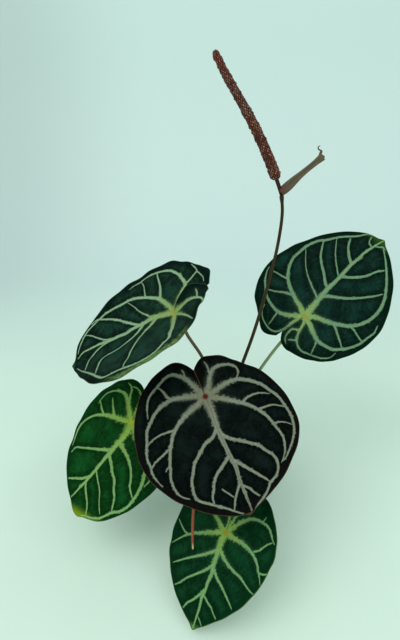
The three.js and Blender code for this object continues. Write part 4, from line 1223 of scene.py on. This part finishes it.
class ANTHURIUM_OT_root(bpy.types.Operator):
    """Add the hanging aerial root"""
    bl_idname = "anthurium.root"
    bl_label = "Aerial Root"

    def execute(self, context):
        settings = context.scene.anthurium_stalks
        path = smooth_route(ROOT_ROUTE, 1.6)
        run = path_lengths(path)
        share = run / run[-1]
        radius, tip = in_mm(settings, "root_radius", "root_tip")
        draw = random.Random(SEEDS["root"])
        uneven = np.interp(share, np.linspace(0, 1, 30), [1 + draw.uniform(-0.07, 0.07) for _ in range(30)])
        radii = (radius + (tip - radius) * smoothstep(share, 0.88, 1.0)) * uneven
        radii = radii * np.sqrt(np.clip((run[-1] - run) / 1.6, 0.04, 1))
        bm = bmesh.new()
        add_tube(bm, path, radii, 18)

        def feeds(tree):
            streaks = tree.streaks(190.0, 3.0)
            base = tree.tones(tree.spread(streaks["Tone"]), settings.root, 0.5)
            base = tree.lay(base, srgb(206, 176, 140), streaks["Flecks"], 0.5)
            base = tree.lay(base, settings.root_end, tree.ramp(tree.split(tree.map_place())[1], 0.93, 0.985))
            return base, tree.spread(streaks["Tone"], 0.6, 0.8), tree.bump(streaks["Height"], 0.0004, 0.8)

        finish_piece("hanging_root", bm, [new_material("root_velamen", feeds)], "aerial_root")
        return {"FINISHED"}


# Flower

def floret_shape():
    """One floret: a rhombic cushion of four tepals round a stigma, 1 mm half diagonals, +Z out."""
    bm = bmesh.new()

    def place(u, v):
        s, t = u * 2 - 1, v * 2 - 1
        rim = np.maximum(np.abs(s), np.abs(t))
        dome = np.sqrt(np.clip(1 - rim ** 2.1, 0, 1))
        furrow = 0.32 * np.exp(-(np.minimum(np.abs(s), np.abs(t)) / 0.16) ** 2) * (rim < 0.95)
        stigma = 0.55 * np.exp(-(np.hypot(s, t) / 0.22) ** 2)
        return np.stack([(s - t) / 2, (s + t) / 2, dome - furrow + stigma - 0.25], axis=1)

    grid_cells(bm, FLORET_CELLS, FLORET_CELLS, place)
    return scene_mesh("floret", bm)


class ANTHURIUM_OT_spadix(bpy.types.Operator):
    """Add the long spike with its florets in alternate rows"""
    bl_idname = "anthurium.spadix"
    bl_label = "Spadix"

    def execute(self, context):
        settings = context.scene.anthurium_flower
        path = smooth_route(SPADIX_AXIS, 0.8)
        run = path_lengths(path)
        stipe, base, tip, thin, relief = in_mm(settings, "stipe_length", "base_radius", "tip_radius",
                                               "stipe_radius", "relief")
        share = np.clip((run - stipe) / (run[-1] - stipe), 0, 1)
        spike = base + (tip - base) * share ** 1.5
        shoulder = np.sqrt(np.clip((run - stipe + 1.0) / 4.5, 0, 1))
        crown = np.sqrt(np.clip(1 - (1 - np.clip((run[-1] - run) / 4.4, 0, 1)) ** 2, 0.002, 1))
        radii = np.maximum(spike * shoulder * crown - 0.35 * (run > stipe), thin * (run < stipe + 1))
        bm = bmesh.new()
        add_tube(bm, path, np.maximum(radii, 0.2), 28, start_side=(0, 1, 0))
        body = len(bm.verts)
        moods = self.add_florets(bm, settings, path, radii, stipe, relief)
        piece = finish_piece("flower_spike", bm, [self.skin(settings)], "spadix")
        s, t = np.meshgrid(*[np.linspace(-1, 1, FLORET_CELLS + 1)] * 2)
        centre = np.exp(-(np.hypot(s, t).ravel() / 0.45) ** 2)
        rim = 1 - np.maximum(np.abs(s), np.abs(t)).ravel()
        rows = [np.zeros((body, 3))]
        rows += [np.stack([rim, centre * opened, np.full_like(rim, aged)], axis=1) for opened, aged in moods]
        write_vectors(piece.data, "floret", "POINT", np.vstack(rows))
        return {"FINISHED"}

    def add_florets(self, bm, settings, path, radii, stipe, relief):
        """Rows of florets on the spike; gives how open and how aged each one is."""
        run = path_lengths(path)
        tangents, across, over = path_frames(path, (0, 1, 0))
        template = floret_shape()
        draw = random.Random(SEEDS["florets"])
        around = settings.around
        first, last = stipe + 1.4, run[-1] - 0.9
        spacing = (last - first) / settings.rows
        moods = []
        for row in range(settings.rows + 1):
            at = first + spacing * row
            centre = read_along(path, run, at)
            radius = float(np.interp(at, run, radii))
            i = min(int(np.searchsorted(run, at)), len(run) - 1)
            slope = (np.interp(at + 1, run, radii) - np.interp(at - 1, run, radii)) / 2
            for column in range(around):
                angle = (column + 0.5 * (row % 2)) * TURN / around + draw.uniform(-0.07, 0.07)
                out = Vector(across[i] * math.cos(angle) + over[i] * math.sin(angle))
                up = Vector(tangents[i])
                seat = Vector(centre) + out * radius + up * draw.uniform(-0.2, 0.2)
                out = (out - up * float(slope)).normalized()
                side = up.cross(out).normalized()
                raised = draw.uniform(1.5, 2.3) if draw.random() < RAISED_FLORETS else draw.uniform(0.6, 1.2)
                size = (radius * math.pi / around * 1.06, spacing * 1.04, relief * raised)
                turn = Matrix((side, out.cross(side), out)).transposed().to_4x4()
                add_copy(bm, template, Matrix.Translation(seat) @ turn @ Matrix.Diagonal((*size, 1.0)))
                moods.append((draw.random() ** 1.6, draw.random()))
        bpy.data.meshes.remove(template)
        return moods

    def skin(self, settings):
        def feeds(tree):
            grain = tree.grain(260.0)
            patch = tree.noise(tree.object_place(), 70.0)
            raised, opened, age = tree.split(tree.attribute("floret"))
            age = tree.add(tree.times(age, 0.5), tree.times(patch, 0.9))
            base = tree.lay(settings.floret, shade(settings.floret, 0.45), tree.ramp(patch, 0.5, 0.34), 0.55)
            base = tree.lay(base, settings.floret_pale, tree.ramp(age, 0.58, 0.86), 0.85)
            z = tree.split(tree.object_place())[2]
            base = tree.lay(base, srgb(152, 66, 52), tree.ramp(z, 0.496, 0.522), 0.75)
            # Painted shade: the spike's body and the rims of the florets take the furrow colour, a dark
            # recess between the florets.
            base = tree.mix(tree.ramp(raised, 0.04, 0.6), settings.floret_dark, base)
            base = tree.lay(base, shade(settings.floret, 0.55), grain["Tone"], 0.4)
            opened = tree.add(opened, tree.times(grain["Fine"], 0.2))
            base = tree.lay(base, settings.stigma, tree.ramp(opened, 0.34, 0.6))
            return base, tree.spread(grain["Fine"], 0.42, 0.64), tree.bump(grain["Height"], 0.0002, 0.6)
        return new_material("spadix_skin", feeds, specular=0.2)


class ANTHURIUM_OT_spathe(bpy.types.Operator):
    """Add the dried, rolled spathe"""
    bl_idname = "anthurium.spathe"
    bl_label = "Spathe"

    def execute(self, context):
        settings = context.scene.anthurium_flower
        spine = smooth_route(SPATHE_SPINE, 0.6)
        run = path_lengths(spine) / path_lengths(spine)[-1]
        tangents = unit_rows(np.gradient(spine, axis=0))
        sideways = np.array([0.0, 1.0, 0.0])
        up = np.cross(tangents, sideways)
        thickness = settings.spathe_thickness / MM

        def rolled(u, v):
            at = np.clip(v, 0, 1)
            centre, lift, ahead = (read_along(values, run, at) for values in (spine, up, tangents))
            radius = interpolate(SPATHE_STATIONS, SPATHE_WIDTHS, at) / 2
            across = u - 0.5
            angle = (across - 0.5) * settings.spathe_wrap + SPATHE_OPENING
            tuck = 1 - 0.3 * (0.5 - across)
            crimp = 1 + 0.04 * np.sin(across * 26 + 3 * at) + 0.05 * np.sin(across * 9 - 7 * at) * at
            outward = -lift * np.cos(angle)[:, None] - sideways * np.sin(angle)[:, None]
            points = centre + outward * ((radius - thickness / 2) * tuck * crimp)[:, None]
            torn = smoothstep(at, 0.84, 1.0) * (1.3 * np.sin(across * 11 + 1) + 0.7 * np.sin(across * 31))
            return points + ahead * torn[:, None]

        curl = smooth_route(SPATHE_CURL, 0.5)
        bearing = unit_rows(np.gradient(curl, axis=0))
        spread = np.cross(bearing, sideways) * 0.6 + sideways * 0.8

        def ribbon(u, v):
            row = np.rint(v * (len(curl) - 1)).astype(int)
            half = 1.6 * (1 - v) ** 1.4 + 0.35
            return curl[row] + spread[row] * ((u * 2 - 1) * half)[:, None]

        bm = bmesh.new()
        grid_cells(bm, 56, 70, rolled)
        strip = grid_cells(bm, 4, len(curl) - 1, ribbon)
        for vert in strip:
            for loop in vert.link_loops:
                loop[bm.loops.layers.uv["UVMap"]].uv.y = 0.97
        bmesh.ops.reverse_faces(bm, faces=bm.faces[:])

        def feeds(tree):
            u, v, _ = tree.split(tree.map_place())
            ribs = tree.noise(tree.join(tree.times(u, 34.0), tree.times(v, 2.0), 0.0), 1.0)
            grain = tree.grain(190.0)
            base = tree.tones(tree.ramp(ribs, 0.35, 0.65), settings.spathe, 0.5)
            base = tree.lay(base, srgb(74, 58, 42), grain["Tone"], 0.5)
            # Painted shadow along the outer edge of the roll, where it overlaps itself, together with the
            # edge's own drier, darker colour.
            base = tree.lay(base, srgb(58, 44, 34), tree.ramp(u, 0.92, 0.99), 0.7)
            foot = tree.add(v, tree.times(grain["Tone"], 0.08))
            base = tree.lay(base, settings.spathe_base, tree.ramp(foot, 0.26, 0.06))
            end = tree.add(v, tree.times(ribs, 0.1))
            base = tree.lay(base, srgb(104, 82, 60), tree.ramp(end, 0.93, 1.06))
            height = tree.add(ribs, tree.times(grain["Height"], 0.4))
            return base, tree.spread(ribs, 0.55, 0.8), tree.bump(height, 0.0005, 0.8)

        paper = new_material("spathe_paper", feeds)
        piece = finish_piece("dried_spathe", bm, [paper], "spathe")
        wall = piece.modifiers.new("Wall", "SOLIDIFY")
        wall.thickness = settings.spathe_thickness
        wall.offset = 0
        return {"FINISHED"}


# Stem, mix and pot

def wall_radius(height):
    """Outer radius of the pot's wall."""
    under_rim = POT["rim_radius"] - POT["rim_step"] - 1
    return POT["base_radius"] + (under_rim - POT["base_radius"]) * height / POT["height"]


class ANTHURIUM_OT_stem(bpy.types.Operator):
    """Add the short stem with its leaf scars and dry sheaths"""
    bl_idname = "anthurium.stem"
    bl_label = "Stem"

    def execute(self, context):
        settings = context.scene.anthurium_pot
        foot, neck, top, radius = (STEM[key] for key in ("foot", "neck", "top", "radius"))
        heights = np.linspace(foot, top, 90)
        share = np.clip((heights - foot) / (neck - foot), 0, 1)
        radii = STEM["foot_radius"] + (radius - STEM["foot_radius"]) * share
        ring = (heights - foot) / ((neck - foot) / STEM["scars"]) % 1
        radii = radii + np.where(heights < neck, 0.9 * np.exp(-((ring - 0.8) / 0.09) ** 2), 0)
        radii = radii + (STEM["top_radius"] - 0.6 - radius) * smoothstep(heights, neck, top)
        radii = radii * np.sqrt(np.clip((top - heights) / 3, 0.02, 1))
        path = np.outer(heights, (0, 0, 1))

        def lumpy(u, v):
            return 1 + 0.03 * np.sin(u * 3 * TURN + v * 9) + 0.02 * np.sin(u * 5 * TURN - v * 21)

        bm = bmesh.new()
        add_tube(bm, path, radii, 40, swell=lumpy)
        draw = random.Random(SEEDS["sheaths"])
        for i in range(STEM["sheaths"]):
            angle = i * 2.4 + draw.uniform(-0.2, 0.2)
            out = np.array(on_ring(1.0, angle, 0.0))
            start = out * (radius - 0.8) + np.array([0, 0, draw.uniform(94, 108)])
            bend = out * draw.uniform(1.5, 3.0) + np.array([draw.uniform(-2, 2), draw.uniform(-2, 2),
                                                            draw.uniform(6, 11)])
            strand = smooth_route([start, start + bend * 0.5 + out * 0.6, start + bend], 1.0)
            add_tube(bm, strand, np.linspace(0.55, 0.12, len(strand)), 5, material=1, start_side=out)

        def bark_feeds(tree):
            grain = tree.grain(120.0)
            z = tree.split(tree.object_place())[2]
            base = tree.tones(grain["Tone"], settings.stem, 0.45)
            base = tree.mix(tree.ramp(z, 0.094, 0.110), srgb(92, 72, 48), base)
            base = tree.lay(base, srgb(150, 132, 96), tree.ramp(grain["Fine"], 0.6, 0.75))
            return base, tree.spread(grain["Fine"], 0.6, 0.85), tree.bump(grain["Height"], 0.0008, 0.8)

        def husk_feeds(tree):
            grain = tree.grain(400.0)
            base = tree.mix(grain["Tone"], srgb(120, 88, 54), srgb(176, 140, 96))
            return base, tree.spread(grain["Fine"], 0.7, 0.9)

        materials = [new_material("stem_bark", bark_feeds), new_material("dry_sheath", husk_feeds)]
        finish_piece("short_stem", bm, materials, "stem")
        return {"FINISHED"}


def rough_template(draw, kind):
    """One bark chip or grain of perlite, about 1 mm in half size."""
    bm = bmesh.new()
    if kind == "bark":
        bmesh.ops.create_cube(bm, size=2.0)
        bmesh.ops.subdivide_edges(bm, edges=bm.edges[:], cuts=1, use_grid_fill=True)
    else:
        bmesh.ops.create_icosphere(bm, subdivisions=1, radius=1.0)
    for vert in bm.verts:
        rounding = 1.35 / max(vert.co.length, 1.0) if kind == "bark" else 1.0
        vert.co *= draw.uniform(0.72, 1.05) * rounding
        vert.co.x += draw.uniform(-0.08, 0.08)
    return scene_mesh(kind, bm)


def on_ring(radius, angle, height):
    return (radius * math.cos(angle), radius * math.sin(angle), height)


def add_copy(bm, template, matrix):
    """A moved copy of a template mesh, added to a bmesh."""
    piece = template.copy()
    piece.transform(matrix)
    bm.from_mesh(piece)
    bpy.data.meshes.remove(piece)


class ANTHURIUM_OT_mix(bpy.types.Operator):
    """Fill the pot with coarse bark mix"""
    bl_idname = "anthurium.mix"
    bl_label = "Bark Mix"

    def execute(self, context):
        settings = context.scene.anthurium_pot
        inner = wall_radius(SOIL_TOP) - POT["wall"] - SOIL_GAP
        bm = bmesh.new()
        self.add_ground(bm, inner)
        draw = random.Random(SEEDS["chips"])
        barks = [rough_template(draw, "bark") for _ in range(6)]
        stones = [rough_template(draw, "perlite") for _ in range(3)]
        for kind, count, templates in ((1, settings.chips, barks), (2, settings.grains, stones)):
            for i in range(count):
                share = (i + 0.5) / count
                reach = math.sqrt(STEM_CLEARING ** 2 + ((inner - 4.5) ** 2 - STEM_CLEARING ** 2) * share)
                angle = i * GOLDEN_ANGLE + kind + draw.uniform(-0.2, 0.2)
                if kind == 1:
                    size = (draw.uniform(1.6, 5.6), draw.uniform(1.2, 3.2), draw.uniform(0.7, 1.7))
                    lift = draw.uniform(-0.4, 1.6)
                else:
                    grain = draw.uniform(0.9, 2.0)
                    size = (grain, grain * draw.uniform(0.8, 1.1), grain * 0.9)
                    lift = draw.uniform(0.4, 2.4)
                turn = Matrix.Rotation(draw.uniform(0, 6.28), 4, "Z")
                for axis in "XY":
                    turn = turn @ Matrix.Rotation(draw.gauss(0, 0.3), 4, axis)
                seat = Matrix.Translation(on_ring(reach, angle, SOIL_TOP - 1 + lift))
                known = len(bm.faces)
                add_copy(bm, draw.choice(templates), seat @ turn @ Matrix.Diagonal((*size, 1.0)))
                bm.faces.ensure_lookup_table()
                for face in bm.faces[known:]:
                    face.material_index = kind
        materials = [self.ground("compost", settings.compost, 420.0, 0.0012, 0.4),
                     self.ground("bark_chips", settings.bark, 330.0, 0.0007, 0.5),
                     self.ground("perlite", settings.perlite, 520.0, 0.0004, 0.85)]
        finish_piece("bark_mix", bm, materials, "soil")
        return {"FINISHED"}

    def add_ground(self, bm, inner):
        """Closed body of compost with a gently uneven top, down to the pot's floor."""
        draw = random.Random(SEEDS["ground"])
        waves = [(draw.uniform(0.05, 0.32), draw.uniform(0, 6.28), draw.uniform(0, 6.28)) for _ in range(14)]
        rings, sides = 34, 96

        def place(u, v):
            row = np.rint(v * rings) / rings
            angle = np.rint(u * sides) % sides * (TURN / sides)
            top = np.minimum(row / 0.8, 1)
            down = np.clip((row - 0.8) / 0.2, 0, 1)
            reach = inner * top
            height = SOIL_TOP - 1.5 - 3.0 * top ** 8
            x, y = reach * np.cos(angle), reach * np.sin(angle)
            for pace, turn, shift in waves:
                swing = np.sin((x * math.cos(turn) + y * math.sin(turn)) * pace + shift)
                height = height + 0.35 * swing * (1 - top ** 6)
            floor = POT["floor"] + 0.4
            wall_height = height + (floor - height) * np.minimum(down / 0.85, 1)
            beside = wall_radius(wall_height) - POT["wall"] - SOIL_GAP
            beside = np.where(down > 0.86, beside * (1 - (down - 0.86) / 0.14), beside)
            use = np.where(down > 0, beside, reach)
            height = np.where(down > 0, wall_height, height)
            return np.stack([use * np.cos(angle), use * np.sin(angle), height], axis=1)

        verts = grid_cells(bm, sides, rings, place)
        bmesh.ops.remove_doubles(bm, verts=verts, dist=1e-4)
        bmesh.ops.recalc_face_normals(bm, faces=bm.faces[:])

    def ground(self, name, colour, scale, depth, dark):
        """Grainy, patchy material of one part of the mix."""
        def feeds(tree):
            grain = tree.grain(scale)
            patch = tree.noise(tree.object_place(), 150.0, 1.0)
            base = tree.tones(grain["Tone"], colour, dark)
            base = tree.lay(base, shade(colour, 0.4), tree.ramp(patch, 0.46, 0.52), 0.5)
            base = tree.lay(base, shade(colour, 1.7), tree.ramp(patch, 0.58, 0.62), 0.35)
            return base, tree.spread(grain["Fine"], 0.75, 0.95), tree.bump(grain["Height"], depth, 0.9)
        return new_material(name, feeds)


class ANTHURIUM_OT_pot(bpy.types.Operator):
    """Add the round nursery pot with its rim and drain holes"""
    bl_idname = "anthurium.pot"
    bl_label = "Pot"

    def execute(self, context):
        settings = context.scene.anthurium_pot
        bm = bmesh.new()
        profile = self.profile()
        verts = [bm.verts.new((radius, 0, height)) for radius, height in profile]
        edges = [bm.edges.new(pair) for pair in zip(verts, verts[1:])]
        bmesh.ops.spin(bm, geom=verts + edges, axis=(0, 0, 1), cent=(0, 0, 0), angle=TURN, steps=120,
                       use_merge=True)
        bmesh.ops.remove_doubles(bm, verts=bm.verts[:], dist=1e-4)
        self.fill_floor(bm)
        bmesh.ops.recalc_face_normals(bm, faces=bm.faces[:])
        for face in bm.faces:
            face.smooth = True

        def feeds(tree):
            place = tree.object_place()
            grain = tree.grain(38.0)
            scuffs = tree.noise(tree.stretch(place, (1, 1, 7)), 95.0, 3.0, 0.6)
            scratch = tree.ramp(tree.noise(tree.stretch(place, (30, 30, 900)), 1.0), 0.66, 0.74)
            dusty = tree.times(tree.ramp(tree.split(place)[2], 0.02, 0.0), tree.spread(scuffs))
            base = tree.tones(grain["Tone"], settings.plastic, 0.75)
            base = tree.lay(base, srgb(96, 92, 82), tree.ramp(scuffs, 0.52, 0.8), 0.22)
            base = tree.lay(base, srgb(120, 120, 112), scratch, 0.25)
            base = tree.lay(base, srgb(120, 104, 82), dusty, 0.6)
            rough = tree.add(tree.ramp(scuffs, 0.3, 0.75, 0.34, 0.58), tree.times(dusty, 0.2))
            moulded = tree.add(tree.times(grain["Fine"], 0.5), tree.times(scuffs, 0.3))
            return base, rough, tree.bump(moulded, 0.00012, 0.7)

        finish_piece("nursery_pot", bm, [new_material("pot_plastic", feeds)], "pot")
        return {"FINISHED"}

    def profile(self):
        """Radius and height round the section, from below the floor over the rim to its upper side."""
        floor, ring, rim, top, base, wall = (POT[key] for key in (
            "floor", "floor_ring", "rim_radius", "height", "base_radius", "wall"))
        foot = top - POT["rim_depth"]
        outer = [(ring, 0), (base - 2, 0), (base - 0.7, 0.6), (base, 2)]
        outer += [(wall_radius(height), height) for height in np.linspace(6, foot - 1, 16)]
        outer += [(wall_radius(foot) + 0.5, foot - 0.3), (rim - 1.6, foot + 0.3), (rim - 1, foot + 1.2),
                  (rim - 0.7, top - 8), (rim - 0.5, top - 3.6)]
        lip = [(rim - 1.3 + 1.3 * math.cos(angle), top - 1.5 + 1.5 * math.sin(angle))
               for angle in np.linspace(-0.9, math.pi + 0.5, 12)]
        inner = [(rim - 3.3, top - 6), (wall_radius(foot) - 0.8, foot + 3),
                 (wall_radius(foot) - wall, foot - 2)]
        inner += [(wall_radius(height) - wall, height) for height in np.linspace(foot - 8, 8, 12)]
        inner += [(wall_radius(4) - wall - 1, 4), (wall_radius(3) - wall - 3, floor), (ring, floor)]
        return outer + lip + inner

    def fill_floor(self, bm):
        """Lower and upper side of the floor, with the drain holes between them."""
        holes = []
        for level in (0.0, POT["floor"]):
            edges = [edge for edge in bm.edges if edge.is_boundary
                     and all(abs(vert.co.z - level) < 1e-3 and vert.co.xy.length < POT["floor_ring"] + 1
                             for vert in edge.verts)]
            drilled = []
            for hole in range(POT["drain_holes"]):
                angle = (hole + 0.5) * TURN / POT["drain_holes"]
                spot = Matrix.Translation(on_ring(POT["drain_ring"], angle, level))
                made = bmesh.ops.create_circle(bm, segments=32, radius=POT["drain_radius"], matrix=spot)
                ring = list(dict.fromkeys(edge for vert in made["verts"] for edge in vert.link_edges))
                drilled.append(ring)
                edges += ring
            bmesh.ops.triangle_fill(bm, use_beauty=True, use_dissolve=False, edges=edges)
            holes.append(drilled)
        for low, high in zip(*holes):
            bmesh.ops.bridge_loops(bm, edges=low + high)


# Stage

class ANTHURIUM_OT_stage(bpy.types.Operator):
    """Set the paper sweep, the lights and the camera"""
    bl_idname = "anthurium.stage"
    bl_label = "Stage"

    def execute(self, context):
        settings = context.scene.anthurium_stage
        near, far, curve, high = (SWEEP[key] for key in ("near", "far", "curve", "high"))
        floor, quarter = far - near, curve * math.pi / 2

        def place(u, v):
            at = v * (floor + quarter + high - curve)
            angle = np.clip((at - floor) / curve, 0, math.pi / 2)
            y = near + np.minimum(at, floor) + curve * np.sin(angle)
            z = curve * (1 - np.cos(angle)) + np.maximum(at - floor - quarter, 0)
            return np.stack([(u - 0.5) * SWEEP["width"], y, z], axis=1)

        bm = bmesh.new()
        grid_cells(bm, 4, SWEEP["cells"], place)
        paper = scene_object("paper_sweep", scene_mesh("paper_sweep", bm))

        def feeds(tree):
            cloud = tree.noise(tree.object_place(), 3.0)
            x, y, _ = tree.split(tree.object_place())
            base = tree.tones(tree.spread(cloud), settings.paper, 0.95)
            # Painted shade: the paper turns darker and bluer towards the backdrop, and darker still on its
            # far left side.
            base = tree.lay(base, settings.far_paper_shade, tree.ramp(y, 0.0, 0.9))
            base = tree.lay(base, shade(settings.far_paper_shade, 0.6), tree.ramp(x, -0.15, -0.75),
                            tree.ramp(y, 0.1, 0.9, 0.0, 0.42))
            fibre = tree.noise(tree.object_place(), 900.0, 1.0)
            return base, tree.spread(cloud, 0.85, 0.95), tree.bump(fibre, 0.0001, 0.4)

        paper.data.materials.append(new_material("sweep_paper", feeds, specular=0.1))

        for name, (spot, size, power, colour) in LIGHTS.items():
            light = bpy.data.lights.new(name, "AREA")
            light.shape = "SQUARE"
            light.size = size
            light.energy = getattr(settings, power)
            light.color = colour
            lamp = scene_object(name, light)
            lamp.location = spot
            lamp.rotation_euler = (Vector(LIT_POINT) - Vector(spot)).to_track_quat("-Z", "Y").to_euler()

        world = bpy.data.worlds.new("studio")
        context.scene.world = world
        world.use_nodes = True
        backing = world.node_tree.nodes["Background"]
        backing.inputs["Color"].default_value = (*srgb(222, 240, 232), 1.0)
        backing.inputs["Strength"].default_value = settings.ambient

        data = bpy.data.cameras.new("camera")
        data.sensor_width = FRAME_WIDTH
        data.lens = settings.lens
        camera = scene_object("camera", data)
        tilt = Matrix.Rotation(math.pi / 2 - settings.camera_pitch, 4, "X")
        camera.matrix_world = (Matrix.Translation(settings.camera_place) @ tilt
                               @ Matrix.Rotation(-settings.camera_roll, 4, "Z"))
        context.scene.camera = camera
        context.scene.view_settings.view_transform = "Standard"
        return {"FINISHED"}


# Add-on

class ANTHURIUM_PT_builder(bpy.types.Panel):
    """Builder panel in the 3D view's sidebar"""
    bl_label = "Anthurium"
    bl_idname = "ANTHURIUM_PT_builder"
    bl_space_type = "VIEW_3D"
    bl_region_type = "UI"
    bl_category = "Anthurium"

    def draw(self, context):
        for operator in OPERATORS:
            self.layout.operator(operator.bl_idname)
        for key in SETTINGS:
            group = getattr(context.scene, key)
            box = self.layout.box()
            for label in group.bl_rna.properties.keys():
                if label not in ("rna_type", "name"):
                    box.prop(group, label)


SETTINGS = {
    "anthurium_blades": BladeSettings,
    "anthurium_stalks": StalkSettings,
    "anthurium_flower": FlowerSettings,
    "anthurium_pot": PotSettings,
    "anthurium_stage": StageSettings,
}
OPERATORS = (
    ANTHURIUM_OT_stage, ANTHURIUM_OT_pot, ANTHURIUM_OT_mix, ANTHURIUM_OT_stem, ANTHURIUM_OT_petioles,
    ANTHURIUM_OT_blades, ANTHURIUM_OT_peduncle, ANTHURIUM_OT_spadix, ANTHURIUM_OT_spathe, ANTHURIUM_OT_root,
)


def register():
    for key, group in SETTINGS.items():
        bpy.utils.register_class(group)
        setattr(bpy.types.Scene, key, PointerProperty(type=group))
    for operator in OPERATORS:
        bpy.utils.register_class(operator)
    bpy.utils.register_class(ANTHURIUM_PT_builder)


def unregister():
    bpy.utils.unregister_class(ANTHURIUM_PT_builder)
    for operator in reversed(OPERATORS):
        bpy.utils.unregister_class(operator)
    for key, group in SETTINGS.items():
        delattr(bpy.types.Scene, key)
        bpy.utils.unregister_class(group)


def main():
    register()
    build_groups()
    for operator in OPERATORS:
        family, label = operator.bl_idname.split(".")
        getattr(getattr(bpy.ops, family), label)()
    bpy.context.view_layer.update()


if __name__ == "__main__":
    main()
